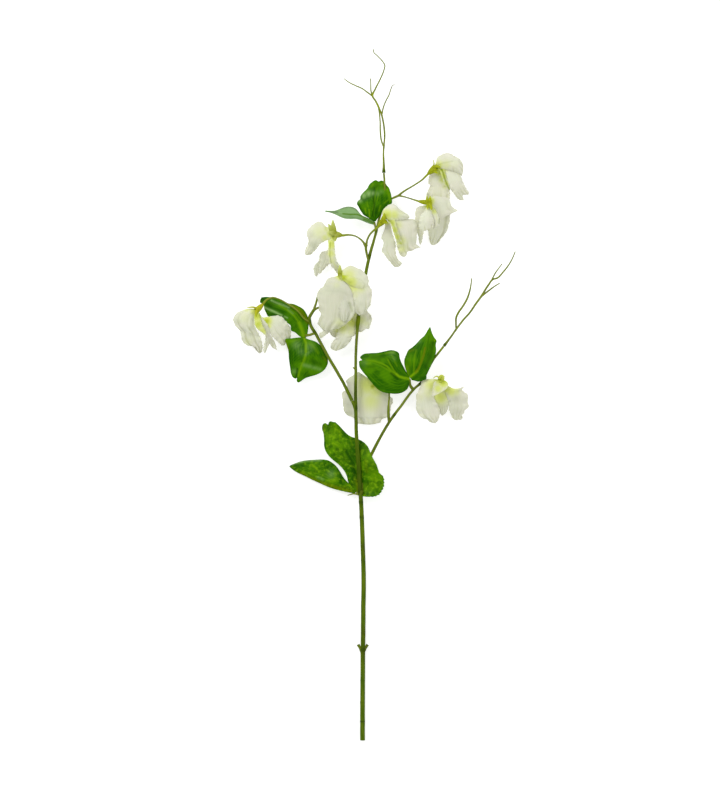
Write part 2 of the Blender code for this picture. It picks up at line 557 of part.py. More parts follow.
def calyx(name, base, mouth, radius, sepal, flare, material, collection):
    """A green cup with pointed sepals round its mouth, lofted ring by ring. It returns the petals' seat."""
    base, mouth = Vector(base), Vector(mouth)
    axis = (mouth - base).normalized()
    depth = (mouth - base).length
    left, above = across(axis)
    lean = math.radians(flare)
    shape = bmesh.new()

    def ring(heights, radii):
        """Corners on the sepals take the first height and radius, and those in the notches the second."""
        corners = []
        for corner in range(2 * SEPALS):
            turn = math.pi * (corner + 1) / SEPALS
            out = above * math.cos(turn) + left * math.sin(turn)
            place = base + axis * heights[corner % 2] + out * radii[corner % 2]
            corners.append(shape.verts.new(place * MM))
        return corners

    belly = (0.4 * depth, 0.72 * radius)
    notch = (depth + NOTCH_LIP, radius)
    tip = (depth + sepal * math.cos(lean), radius + sepal * math.sin(lean))
    tip_inside = (tip[0] + SEPAL_THICKNESS * math.sin(lean), tip[1] - SEPAL_THICKNESS * math.cos(lean))
    notch_inside = (notch[0], radius - SEPAL_THICKNESS)
    floor = (depth - FLOOR_DEPTH, radius - SEPAL_THICKNESS - NOTCH_LIP)
    rings = [
        ring((0, 0), (PEDICEL_RADIUS, PEDICEL_RADIUS)),
        ring((belly[0], belly[0]), (belly[1], belly[1])),
        ring((depth, depth), (radius, radius)),
        ring((tip[0], notch[0]), (tip[1], notch[1])),
        ring((tip_inside[0], notch_inside[0]), (tip_inside[1], notch_inside[1])),
        ring((floor[0], floor[0]), (floor[1], floor[1])),
    ]
    for lower, upper in zip(rings, rings[1:]):
        for corner in range(2 * SEPALS):
            after = (corner + 1) % (2 * SEPALS)
            shape.faces.new((lower[corner], lower[after], upper[after], upper[corner]))
    shape.faces.new(reversed(rings[0]))
    shape.faces.new(rings[-1])
    bmesh.ops.recalc_face_normals(shape, faces=shape.faces)
    mesh = bpy.data.meshes.new(name)
    shape.to_mesh(mesh)
    shape.free()
    mesh.shade_smooth()
    mesh.set_sharp_from_angle(angle=math.radians(50))
    add_object(name, mesh, material, collection)
    return base + axis * (floor[0] + SEAT_GAP), axis, left, above


def petal(name, seat, notch, spine, widths, material, collection, **bends):
    """A petal whose claw stands on the calyx's floor, in the given notch."""
    centre, axis, left, above = seat
    turn = math.tau * notch / SEPALS
    foot = centre + (above * math.cos(turn) + left * math.sin(turn)) * SEAT_RADIUS
    route = [foot, foot + axis * CLAW_LENGTH, *spine]
    widths = [(CLAW_HALF_WIDTH, CLAW_HALF_WIDTH), *widths]
    mesh = blade_mesh(name, route, widths, PETAL_GRID, claw=CLAW_LENGTH, **bends)
    blade(name, mesh, PETAL_THICKNESS, material, collection)


def joined_tube(name, routes, radii, side_radii, steps, material, collection, cutters):
    """A stalk along the first route, with thinner stalks along the others joined to it."""
    piece = tube(name, routes[0], radii, steps[0], material, collection)
    sides = []
    for number, route in enumerate(routes[1:], start=1):
        sides.append(tube(f"{name}_side_{number}", route, side_radii, steps[1], material, cutters))
    join_to(piece, sides)


def build_main_stem(material, collection, cutters):
    """The thick stem, with its top socket, both branches' bosses, its bare node and the base leaf stalk."""
    stem = tube("main_stem", MAIN_STEM, (STEM_CUT_RADIUS, STEM_TOP_RADIUS), 11, material, collection, 2)
    boss_radii = (SOCKET_RADIUS, SOCKET_RADIUS)
    growths = [
        tube("top_socket", TOP_SOCKET, (2.1, 2.3), 4, material, cutters, 2),
        tube("left_socket", LEFT_SOCKET, boss_radii, 4, material, cutters),
        tube("right_socket", RIGHT_SOCKET, boss_radii, 4, material, cutters),
        tube("base_petiole", BASE_PETIOLE, (PETIOLE_RADIUS, PETIOLE_RADIUS), 3, material, cutters),
    ]
    for number, route in enumerate(NODE_STUBS, start=1):
        growths.append(tube(f"node_stub_{number}", route, (1.2, 1.5), 3, material, cutters))
    join_to(stem, growths)


def build_stems(material, collection, cutters):
    build_main_stem(material, collection, cutters)
    stalk = (PEDICEL_RADIUS, PEDICEL_RADIUS)
    tendril = (TENDRIL_RADIUS, TENDRIL_TIP_RADIUS)
    curl = (CURL_RADIUS, TENDRIL_TIP_RADIUS)
    layers = (material, collection, cutters)
    joined_tube("upper_stem", UPPER_ROUTES, (1.2, 0.95), stalk, (5, 4), *layers)
    joined_tube("left_branch", LEFT_ROUTES, (BRANCH_RADIUS, 1.0), stalk, (6, 4), *layers)
    joined_tube("right_branch", RIGHT_ROUTES, (BRANCH_RADIUS, 0.9), stalk, (6, 4), *layers)
    joined_tube("top_tendril", TOP_TENDRIL, tendril, curl, (5, 5), *layers)
    joined_tube("right_tendril", RIGHT_TENDRIL, tendril, curl, (5, 5), *layers)


def build():
    clear_scene()
    spray = new_collection("sweet_pea_spray")
    cutters = new_collection("cutters")
    finish = {name: new_material(name) for name in FINISHES}
    build_stems(finish["stem"], spray, cutters)
    for name, leaflet in LEAFLETS.items():
        mesh = blade_mesh(name, grid=LEAF_GRID, **leaflet)
        blade(name, mesh, LEAF_THICKNESS, finish["leaf"], spray)
    for flower, parts in FLOWERS.items():
        seat = calyx(flower + "_calyx", material=finish["calyx"], collection=spray, **parts["calyx"])
        for kind, shape in parts["petals"].items():
            petal(f"{flower}_{kind}", seat, material=finish[kind.split("_")[-1]], collection=spray, **shape)


build()
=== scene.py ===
"""A cut spray of white sweet pea, lying down and seen from straight above.

Lengths of the spray are in millimetres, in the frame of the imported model; the stage and the meshes are in
metres.
"""

import math

import bpy
import numpy as np
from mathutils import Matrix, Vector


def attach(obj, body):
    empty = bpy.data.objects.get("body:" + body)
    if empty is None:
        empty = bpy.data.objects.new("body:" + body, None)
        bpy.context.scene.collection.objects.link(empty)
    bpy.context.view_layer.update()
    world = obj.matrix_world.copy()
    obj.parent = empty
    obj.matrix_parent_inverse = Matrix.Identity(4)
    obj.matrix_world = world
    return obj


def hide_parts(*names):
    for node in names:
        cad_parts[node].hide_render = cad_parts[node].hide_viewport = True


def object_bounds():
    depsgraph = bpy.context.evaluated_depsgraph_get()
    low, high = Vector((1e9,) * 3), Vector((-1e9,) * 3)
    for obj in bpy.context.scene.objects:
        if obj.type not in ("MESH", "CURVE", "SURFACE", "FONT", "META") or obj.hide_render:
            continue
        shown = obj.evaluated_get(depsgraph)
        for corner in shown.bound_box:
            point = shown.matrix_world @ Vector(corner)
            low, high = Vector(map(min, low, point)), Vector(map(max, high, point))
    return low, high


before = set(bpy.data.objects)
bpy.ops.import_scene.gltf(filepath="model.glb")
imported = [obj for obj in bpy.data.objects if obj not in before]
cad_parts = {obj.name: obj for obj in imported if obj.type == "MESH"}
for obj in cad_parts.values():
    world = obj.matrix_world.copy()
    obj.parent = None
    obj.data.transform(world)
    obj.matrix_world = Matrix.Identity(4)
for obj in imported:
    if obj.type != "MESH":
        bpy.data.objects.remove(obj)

MM = 0.001
cad_low, cad_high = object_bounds()


# The stage: a plain white table top, with a soft lamp high over its upper left corner, a weaker one on the
# right and pale walls all round. The camera looks straight down, aimed a little left of the spray's middle.
def set_plain(shader, values):
    """Sets the sockets that have one value all over the surface."""
    for label, value in values.items():
        shader.inputs[label].default_value = value


camera_height = 5.499
aim_left = 0.0135
aim_up = 0.0002
table_half = 6.0
pale_light = 0.62

middle = (cad_low + cad_high) / 2
eye = bpy.data.objects.new("camera", bpy.data.cameras.new("camera"))
eye.data.lens = 250
eye.data.sensor_width = 36
eye.location = (middle.x - aim_left, middle.y + aim_up, cad_low.z + camera_height)
bpy.context.collection.objects.link(eye)
bpy.context.scene.camera = eye
bpy.context.scene.view_settings.view_transform = "Standard"

for name, place, size, watts in (
    ("key_lamp", (-0.9, 1.1, 1.5), 1.0, 24),
    ("side_lamp", (1.3, -0.2, 1.2), 1.0, 7),
):
    lamp = bpy.data.objects.new(name, bpy.data.lights.new(name, "AREA"))
    lamp.data.size = size
    lamp.data.energy = watts
    lamp.location = place
    lamp.rotation_euler = (middle - lamp.location).to_track_quat("-Z", "Y").to_euler()
    bpy.context.collection.objects.link(lamp)

room = bpy.data.worlds.new("room")
room.use_nodes = True
set_plain(room.node_tree.nodes["Background"], {"Color": (1, 1, 1, 1), "Strength": pale_light})
bpy.context.scene.world = room

table_skin = bpy.data.materials.new("white_table")
table_skin.use_nodes = True
set_plain(table_skin.node_tree.nodes["Principled BSDF"], {
    "Base Color": (0.6, 0.6, 0.6, 1), "Roughness": 0.9, "Specular IOR Level": 0.0,
    "Emission Color": (1, 1, 1, 1), "Emission Strength": pale_light,
})
table_mesh = bpy.data.meshes.new("table_top")
table_corners = [(x * table_half, y * table_half, 0) for x, y in ((-1, -1), (1, -1), (1, 1), (-1, 1))]
table_mesh.from_pydata(table_corners, [], [(0, 1, 2, 3)])
table_mesh.materials.append(table_skin)
table_top = bpy.data.objects.new("table_top", table_mesh)
bpy.context.collection.objects.link(table_top)


# The stalks: the thick cut stem and the thin shoots that grow from it, each with its flower and leaf stalks.
# They are green living stem, faintly ribbed, swollen where anything grows out and ringed at old scars. Each
# stalk is a route with a thickness along it, and Geometry Nodes give it its round, ribbed skin.
def smooth_run(points, shares, even=False):
    """Points at shares of the way along a smooth curve, at a speed even in its chords or in its steps."""
    least_gap = 1e-6
    points = np.asarray(points, float)
    if points.ndim == 1:
        points = points[:, None]
    gaps = np.linalg.norm(np.diff(points, axis=0), axis=1)
    gaps = np.ones(len(gaps)) if even else np.maximum(gaps, least_gap)
    at = np.concatenate(([0], np.cumsum(gaps))) / gaps.sum()
    step = np.diff(at)[:, None]
    slopes = np.diff(points, axis=0) / step
    inner = (slopes[:-1] * step[1:] + slopes[1:] * step[:-1]) / (step[1:] + step[:-1])
    tangents = np.vstack((slopes[:1], inner, slopes[-1:]))
    span = np.clip(np.searchsorted(at, shares, "right") - 1, 0, len(gaps) - 1)
    gap = step[span]
    t = (np.asarray(shares) - at[span])[:, None] / gap
    return (
        points[span] * (2 * t**3 - 3 * t**2 + 1)
        + tangents[span] * gap * (t**3 - 2 * t**2 + t)
        + points[span + 1] * (3 * t**2 - 2 * t**3)
        + tangents[span + 1] * gap * (t**3 - t**2)
    )


def along_steps(values, shares):
    """Single values at shares of the way through a list of them set at even steps."""
    return smooth_run(values, shares, even=True)[:, 0]


def wire(tree, output, socket):
    """Links one node's output to another's input."""
    tree.links.new(output, socket)


def math_node(tree, operation, first, second=None, kind="ShaderNodeMath"):
    """A Math or Vector Math node on its inputs, each a socket or a plain value. It returns its output."""
    made = tree.nodes.new(kind)
    made.operation = operation
    for socket, given in zip(made.inputs, (first, second)):
        if isinstance(given, bpy.types.NodeSocket):
            wire(tree, given, socket)
        elif given is not None:
            socket.default_value = given
    return made.outputs[0]


def scaled(tree, vector, factor):
    """A vector times a number. It returns the vector."""
    made = tree.nodes.new("ShaderNodeVectorMath")
    made.operation = "SCALE"
    wire(tree, vector, made.inputs[0])
    wire(tree, factor, made.inputs["Scale"])
    return made.outputs["Vector"]


def moved(tree, geometry, offset):
    """Points moved by an offset of their own. It returns the geometry."""
    made = tree.nodes.new("GeometryNodeSetPosition")
    wire(tree, geometry, made.inputs["Geometry"])
    wire(tree, offset, made.inputs["Offset"])
    return made.outputs["Geometry"]


def captured(tree, geometry, fields):
    """Fields kept on a geometry, each under its label. It returns the node, with an output for each."""
    made = tree.nodes.new("GeometryNodeCaptureAttribute")
    for label in fields:
        made.capture_items.new("FLOAT", label)
    wire(tree, geometry, made.inputs["Geometry"])
    for label, field in fields.items():
        wire(tree, field, made.inputs[label])
    return made


def stalk_tree():
    """Geometry Nodes that turn routes, whose points carry their own radius in metres, into ribbed stalks.

    The tilt of a route's points carries the tone of its marks, dark at scars and fresh at young growth and
    where a mark stands for painted light; the skin reads it as an attribute.
    """
    wobble_scale = 60
    tree = bpy.data.node_groups.new("grown_stalk", "GeometryNodeTree")
    sockets = {}
    for label, kind in (
        ("Routes", "NodeSocketGeometry"), ("Ring spacing", "NodeSocketFloat"), ("Sides", "NodeSocketInt"),
        ("Ribs", "NodeSocketFloat"), ("Rib depth", "NodeSocketFloat"), ("Wobble", "NodeSocketFloat"),
        ("Skin", "NodeSocketMaterial"),
    ):
        sockets[label] = tree.interface.new_socket(label, in_out="INPUT", socket_type=kind).identifier
    tree.interface.new_socket("Stalks", in_out="OUTPUT", socket_type="NodeSocketGeometry")
    given = tree.nodes.new("NodeGroupInput").outputs

    rings = tree.nodes.new("GeometryNodeResampleCurve")
    rings.mode = "LENGTH"
    wire(tree, given["Routes"], rings.inputs["Curve"])
    wire(tree, given["Ring spacing"], rings.inputs["Length"])
    noise = tree.nodes.new("ShaderNodeTexNoise")
    noise.inputs["Scale"].default_value = wobble_scale
    shift = math_node(tree, "SUBTRACT", noise.outputs["Color"], (0.5, 0.5, 0.5), "ShaderNodeVectorMath")
    bent = moved(tree, rings.outputs["Curve"], scaled(tree, shift, given["Wobble"]))
    on_route = captured(tree, bent, {
        "along": tree.nodes.new("GeometryNodeSplineParameter").outputs["Length"],
        "girth": tree.nodes.new("GeometryNodeInputRadius").outputs["Radius"],
        "scar": tree.nodes.new("GeometryNodeInputCurveTilt").outputs["Tilt"],
    })

    ring = tree.nodes.new("GeometryNodeCurvePrimitiveCircle")
    ring.inputs["Radius"].default_value = 1
    wire(tree, given["Sides"], ring.inputs["Resolution"])
    on_ring = captured(tree, ring.outputs["Curve"], {
        "around": tree.nodes.new("GeometryNodeSplineParameter").outputs["Factor"],
    })

    swept = tree.nodes.new("GeometryNodeCurveToMesh")
    wire(tree, on_route.outputs["Geometry"], swept.inputs["Curve"])
    wire(tree, on_ring.outputs["Geometry"], swept.inputs["Profile Curve"])
    wire(tree, on_route.outputs["girth"], swept.inputs["Scale"])
    swept.inputs["Fill Caps"].default_value = True

    angle = math_node(tree, "MULTIPLY", on_ring.outputs["around"], math.tau)
    wave = math_node(tree, "COSINE", math_node(tree, "MULTIPLY", angle, given["Ribs"]))
    height = math_node(tree, "MULTIPLY", wave, given["Rib depth"])
    normal = tree.nodes.new("GeometryNodeInputNormal").outputs["Normal"]
    made = moved(tree, swept.outputs["Mesh"], scaled(tree, normal, height))
    for label in ("along", "girth", "around", "scar"):
        field = (on_ring if label == "around" else on_route).outputs[label]
        kept = tree.nodes.new("GeometryNodeStoreNamedAttribute")
        kept.inputs["Name"].default_value = label
        wire(tree, made, kept.inputs["Geometry"])
        wire(tree, field, kept.inputs["Value"])
        made = kept.outputs["Geometry"]
    for kind in ("SetShadeSmooth", "RealizeInstances", "SetMaterial"):
        last = tree.nodes.new("GeometryNode" + kind)
        wire(tree, made, last.inputs["Geometry"])
        made = last.outputs["Geometry"]
    wire(tree, given["Skin"], last.inputs["Material"])
    wire(tree, made, tree.nodes.new("NodeGroupOutput").inputs["Stalks"])
    return tree, sockets


def new_material(name):
    """A material with nodes, its tree and its Principled shader."""
    made = bpy.data.materials.new(name)
    made.use_nodes = True
    return made, made.node_tree, made.node_tree.nodes["Principled BSDF"]


def attribute(tree, name):
    """A value that the mesh carries at its points. It returns the value."""
    made = tree.nodes.new("ShaderNodeAttribute")
    made.attribute_name = name
    return made.outputs["Fac"]


def blend_colours(tree, share, first, second):
    """A Mix node between two colours, each a socket or an RGB tuple, by a socket. It returns its colour."""
    made = tree.nodes.new("ShaderNodeMix")
    made.data_type = "RGBA"
    wire(tree, share, made.inputs["Factor"])
    colour_sockets = (made.inputs[6], made.inputs[7])
    for socket, given in zip(colour_sockets, (first, second)):
        if isinstance(given, bpy.types.NodeSocket):
            wire(tree, given, socket)
        else:
            socket.default_value = (*given, 1)
    return made.outputs[2]


def between(tree, value, low, high, low_out=0.0, high_out=1.0):
    """A clamped smooth Map Range of a value. It returns its result."""
    made = tree.nodes.new("ShaderNodeMapRange")
    made.interpolation_type = "SMOOTHSTEP"
    wire(tree, value, made.inputs["Value"])
    set_plain(made, {"From Min": low, "From Max": high, "To Min": low_out, "To Max": high_out})
    return made.outputs["Result"]


def speckle(tree, scale, detail, place=None):
    """Noise at a place, or at the Object coordinates. It returns its value."""
    made = tree.nodes.new("ShaderNodeTexNoise")
    set_plain(made, {"Scale": scale, "Detail": detail})
    if place is None:
        place = tree.nodes.new("ShaderNodeTexCoord").outputs["Object"]
    wire(tree, place, made.inputs["Vector"])
    return made.outputs["Fac"]


def relief(tree, shader, height, depth):
    """Bump of that depth in metres under the shader."""
    made = tree.nodes.new("ShaderNodeBump")
    made.inputs["Distance"].default_value = depth
    wire(tree, height, made.inputs["Height"])
    wire(tree, made.outputs["Normal"], shader.inputs["Normal"])


def streak_group():
    """Fine streaks that run along a piece: noise drawn out along its second coordinate."""
    tree = bpy.data.node_groups.new("growth_streaks", "ShaderNodeTree")
    for label in ("Across", "Along", "Fineness", "Stretch"):
        tree.interface.new_socket(label, in_out="INPUT", socket_type="NodeSocketFloat")
    tree.interface.new_socket("Streaks", in_out="OUTPUT", socket_type="NodeSocketFloat")
    given = tree.nodes.new("NodeGroupInput").outputs
    joined = tree.nodes.new("ShaderNodeCombineXYZ")
    wire(tree, math_node(tree, "MULTIPLY", given["Across"], given["Fineness"]), joined.inputs["X"])
    wire(tree, math_node(tree, "MULTIPLY", given["Along"], given["Stretch"]), joined.inputs["Y"])
    made = speckle(tree, scale=1.0, detail=3.0, place=joined.outputs["Vector"])
    wire(tree, made, tree.nodes.new("NodeGroupOutput").inputs["Streaks"])
    return tree


growth_streaks = streak_group()


def streaks(tree, across, along, fineness, stretch):
    """Places the growth streaks in a material. It returns their value."""
    made = tree.nodes.new("ShaderNodeGroup")
    made.node_tree = growth_streaks
    wire(tree, across, made.inputs["Across"])
    wire(tree, along, made.inputs["Along"])
    set_plain(made, {"Fineness": fineness, "Stretch": stretch})
    return made.outputs["Streaks"]


def stem_material():
    """Olive green skin, paler on the thin stalks, streaked along them, darker in patches and at scars,
    yellower at young growth and brightened by painted light at one mark.
    """
    thin_green = (0.212, 0.242, 0.034)
    thick_green = (0.052, 0.104, 0.001)
    olive_streak = (0.110, 0.165, 0.004)
    brown_patch = (0.045, 0.055, 0.003)
    dark_scar = (0.026, 0.052, 0.001)
    young_green_and_painted_light = (0.250, 0.310, 0.006)
    made, tree, shader = new_material("stem_skin")
    thick = between(tree, attribute(tree, "girth"), 0.9 * MM, 2.0 * MM)
    green = blend_colours(tree, thick, thin_green, thick_green)
    shade = streaks(tree, attribute(tree, "around"), attribute(tree, "along"), fineness=9, stretch=60)
    green = blend_colours(tree, between(tree, shade, 0.35, 0.65, high_out=0.8), green, olive_streak)
    patch = between(tree, speckle(tree, scale=45, detail=3), 0.52, 0.72, high_out=0.7)
    green = blend_colours(tree, patch, green, brown_patch)
    tone = attribute(tree, "scar")
    green = blend_colours(tree, between(tree, tone, 0, 1), green, dark_scar)
    # Fresh marks turn the skin yellow-green at young growth, and serve as painted light on the stem's shaded
    # top.
    green = blend_colours(tree, between(tree, tone, 0, -1), green, young_green_and_painted_light)
    wire(tree, green, shader.inputs["Base Color"])
    set_plain(shader, {"Roughness": 0.55, "Specular IOR Level": 0.05})
    relief(tree, shader, shade, 0.15 * MM)
    return made


def grow(name, node, stalks, spacing, sides, ribs, rib_depth, wobble):
    """One piece of stalks, each (route, radii at even steps, its marks).

    A mark is (distance along, extra radius, width, tone), with a tone from -1, fresh and yellow, to 1, dark.
    A fresh tone also serves as painted light, where a flower shades the stem.
    """
    point_spacing = 0.8
    least_steps = 4
    sharp_angle = math.radians(55)
    routes = bpy.data.curves.new(name, "CURVE")
    routes.dimensions = "3D"
    for route, radii, swellings in stalks:
        length = np.linalg.norm(np.diff(np.array(route, float), axis=0), axis=1).sum()
        shares = np.linspace(0, 1, max(least_steps, round(length / point_spacing)) + 1)
        places = smooth_run(route, shares)
        radius = along_steps(radii, shares)
        scar = np.zeros_like(radius)
        for distance, extra, width, tone in swellings:
            swell = np.exp(-(((shares * length - distance) / width) ** 2))
            radius = radius + extra * swell
            scar = scar + tone * swell
        spline = routes.splines.new("POLY")
        spline.points.add(len(shares) - 1)
        spline.points.foreach_set("co", np.column_stack((places * MM, np.ones(len(shares)))).ravel())
        spline.points.foreach_set("radius", radius * MM)
        spline.points.foreach_set("tilt", scar)
    guide = bpy.data.objects.new(name + "_routes", routes)
    bpy.context.collection.objects.link(guide)
    modifier = guide.modifiers.new("stalk", "NODES")
    modifier.node_group = grown_stalk
    for label, value in (
        ("Ring spacing", spacing * MM), ("Sides", sides), ("Ribs", float(ribs)),
        ("Rib depth", rib_depth * MM), ("Wobble", wobble * MM), ("Skin", stem_skin),
    ):
        modifier[stalk_sockets[label]] = value
    mesh = bpy.data.meshes.new_from_object(guide.evaluated_get(bpy.context.evaluated_depsgraph_get()))
    mesh.name = name
    mesh.set_sharp_from_angle(angle=sharp_angle)
    bpy.data.objects.remove(guide)
    piece = bpy.data.objects.new(name, mesh)
    bpy.context.collection.objects.link(piece)
    settle(piece, node)


def settle(piece, node):
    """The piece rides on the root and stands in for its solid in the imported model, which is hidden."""
    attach(piece, "root")
    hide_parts(node)


grown_stalk, stalk_sockets = stalk_tree()
stem_skin = stem_material()
thin_stalk = {"spacing": 0.7, "sides": 14, "ribs": 4, "rib_depth": 0.05, "wobble": 0.6}

grow(
    "cut_stem", "main_stem",
    stalks=[
        (
            [(-11.5, -345.5, 2.7), (-11.4, -300, 3.2), (-11.1, -254.5, 3.9), (-10.7, -215, 4.9),
             (-10.4, -188, 5.8), (-11.3, -150, 7.2), (-12.8, -110, 9), (-15.5, -70, 11.5),
             (-17.6, -40, 13.4), (-18.3, -12.5, 15.6), (-18.3, 15, 17.4), (-18, 45, 19), (-17, 62, 20),
             (-15.5, 80, 20.8)],
            [2.45, 2.4, 2.35, 2.35, 2.35, 2.3, 2.25, 2.15, 2.0, 1.8, 1.55, 1.4, 1.5],
            [(19, 0.2, 0.9, 0.8), (38, 0.1, 0.8, 0.4), (60, 0.1, 0.8, 0.4), (91, 0.35, 2.6, 0.7),
             (180, 0, 3, 0.5), (224, 0.2, 1.6, 0.5), (239, 0.2, 1.8, 0.5), (249, 0.3, 2.6, 0.4),
             # The fresh mark at 421 mm is painted light, brightening the stem's top where the flowers above
             # shade it.
             (334, 0.3, 3, 0.6), (349, 0, 14, 0.65), (388, 0, 16, 0.3), (421, 0.7, 6, -0.45),
             (264, 0, 30, 0.5)],
        ),
        ([(-11.2, -259, 4), (-13.4, -254, 4.1), (-16, -249.4, 4.2)], [0.9, 1.6, 1.3, 1.6], []),
        ([(-11.2, -259, 4), (-9.2, -254, 4.1), (-6.4, -249.4, 4.2)], [0.9, 1.6, 1.3, 1.6], []),
        ([(-18.3, -16, 15.6), (-19.6, -10, 15.9), (-22, -5.2, 16.1)], [1.4, 1.8, 1.5], []),
        ([(-14, -101, 9.6), (-13, -98, 11), (-11.9, -95.2, 12.1)], [1.6, 1.7, 1.5], []),
        ([(-13.8, -99.4, 9.4), (-16, -98, 8.4), (-17.4, -97, 7.6)], [1.1, 0.9, 1.0], []),
        ([(-14.5, -99.5, 9), (-20.5, -98.4, 7.6), (-26.4, -100, 6.4)], [0.9, 0.7, 0.3], []),
        ([(-18.4, 25.4, 18), (-20, 27.2, 18.6), (-21, 28.2, 19)], [0.9, 0.8, 0.5], []),
    ],
    spacing=0.8, sides=22, ribs=5, rib_depth=0.05, wobble=0.5,
)
grow(
    "upper_shoot", "upper_stem",
    stalks=[
        (
            [(-15.45, 80.3, 20.8), (-12.5, 95, 19), (-9.5, 110, 18.5), (-8, 122.5, 18.5),
             (-4.5, 139.5, 19.5), (2, 163, 20.5), (4.5, 174, 19.4), (8.5, 189, 18.8), (10.6, 203, 20),
             (10.4, 214, 22.5), (9.8, 222, 22.5)],
            [1.6, 1.6, 1.6, 1.5, 1.2, 1.05, 0.95, 0.9],
            [(60, 0.2, 3, 0.5), (86, 0.3, 3, 0.5), (142, 0.1, 4, 0.3)],
        ),
        ([(2.2, 163.6, 20.6), (1.4, 168, 21), (0.4, 172.4, 21.4)], [1.1, 0.9, 1.1], []),
        ([(-5.4, 135, 19.8), (-7.4, 142, 21), (-8, 149, 22), (-7.6, 150.5, 22.4)], [1.3, 1.15, 1.4], []),
        (
            [(-8, 148.5, 22), (-11, 153.5, 22), (-19.5, 159.4, 21), (-25.5, 160.4, 20),
             (-31.6, 159.9, 19.4)],
            [1.5, 0.8, 0.8, 1.3], [(29, 0, 6, -0.7)],
        ),
        (
            [(-7.8, 149, 22), (-6.6, 156, 25), (-3, 162, 27.5), (1, 165.6, 28), (4.8, 168.8, 28.1)],
            [1.1, 0.95, 0.95, 1.3], [(24, 0, 5, -0.6)],
        ),
        ([(8.8, 190, 18.8), (13.5, 194, 19.2), (18, 196.7, 20.6), (25.4, 200, 22.5)], [1.0, 0.9, 1.2], []),
        (
            [(24.5, 199.6, 22.5), (29.4, 203.5, 22.5), (37.8, 208.7, 22), (47.6, 215.1, 21.5),
             (53.6, 220.9, 21.5)],
            [1.1, 0.8, 0.75, 1.0], [(36, 0.1, 7, -0.7)],
        ),
        (
            [(24.5, 199.6, 22.5), (30, 198.4, 23), (37, 196.3, 24), (44.6, 193.8, 25.1)],
            [1.0, 0.6, 0.65, 0.9], [(21, 0.1, 6, -0.6)],
        ),
    ],
    **thin_stalk,
)
grow(
    "left_shoot", "left_branch",
    stalks=[
        (
            [(-22.13, -4.93, 16.12), (-29.5, 10.5, 17), (-37, 24, 17), (-45, 37.5, 16.5), (-57, 59.5, 16),
             (-64, 72.5, 16), (-64.6, 77.5, 16), (-62.5, 81.8, 16), (-60, 85.5, 16)],
            [1.7, 1.55, 1.5, 1.5, 1.55, 1.5], [(20, 0, 6, 0.4), (78, 0.2, 3, 0.6), (90, 0.3, 3, 0.4)],
        ),
        (
            [(-60.4, 85, 16), (-58, 92, 16), (-56, 99.5, 16.5), (-50, 106, 17.5), (-43, 111.5, 19.5),
             (-37.4, 116.4, 23), (-35, 120, 25.4), (-34.9, 124.6, 26.4)],
            [1.2, 0.9, 0.75, 0.75, 1.0], [(56, 0, 8, -1)],
        ),
        (
            [(-60.4, 85, 16), (-56.4, 87.4, 15), (-48, 89.5, 12.5), (-40, 90, 11), (-34.4, 87.8, 10.4)],
            [1.2, 0.9, 0.8, 1.2], [],
        ),
        (
            [(-64.4, 73.5, 16), (-69, 76.5, 18), (-76.3, 84.5, 20), (-85.5, 91, 20.5), (-94, 95.7, 20.5),
             (-101.6, 97.7, 20.5), (-107, 95.6, 20.5), (-110.8, 91.4, 20.5)],
            [1.0, 0.75, 0.7, 0.75, 1.1], [(54, 0.2, 6, -0.4)],
        ),
        ([(-59.3, 62.5, 16), (-63.5, 60.8, 16), (-69, 59.9, 16.2)], [1.3, 1.2, 1.4], []),
    ],
    **thin_stalk,
)
grow(
    "right_shoot", "right_branch",
    stalks=[
        (
            [(-12.6, -94.6, 8.2), (-10.8, -83, 6.2), (-7.5, -70, 7), (-2.2, -58, 9.6), (4, -45.8, 13.4),
             (10, -35, 16), (15.5, -26, 16.5), (27.3, -10, 17.5), (40, 6.7, 18), (47.5, 13.5, 18),
             (53, 24, 18.5), (59.5, 36.5, 20), (63, 41, 20.5), (69.5, 49, 21)],
            [1.5, 1.5, 1.55, 1.5, 1.35, 1.25, 1.2, 1.1, 1.1],
            [(60, 0, 8, 0.3), (84, 0.2, 3, 0.6), (125, 0.3, 3, 0.6), (150, 0.2, 3, 0.6), (166, 0, 5, -0.4)],
        ),
        (
            [(15, -26, 16.5), (14.4, -18, 16), (14.6, -8, 15), (15.3, 1, 14), (14.6, 9, 13),
             (11.5, 14.5, 12), (7.5, 16.6, 11.2), (4.4, 15.1, 10.9)],
            [1.4, 1.35, 0.85, 0.8, 0.8, 1.1], [],
        ),
        (
            [(49.6, 17.4, 18.2), (54, 13.6, 16), (59, 10.6, 15.4), (63, 10, 16), (65.2, 11.6, 17.6)],
            [0.8, 0.75, 0.75, 1.1], [],
        ),
        ([(39.6, 5.6, 18), (36.4, 9.6, 20.5), (35.4, 15.8, 24.6)], [1.7, 1.4, 1.4], []),
    ],
    **thin_stalk,
)


# The tendrils: the thin, forked and curling threads in which the two shoots end. They are the same green
# growth as the shoots, tapering to blunt tips, and slightly thicker at every fork.
thread = {"spacing": 0.6, "sides": 10, "ribs": 3, "rib_depth": 0.02, "wobble": 0.5}

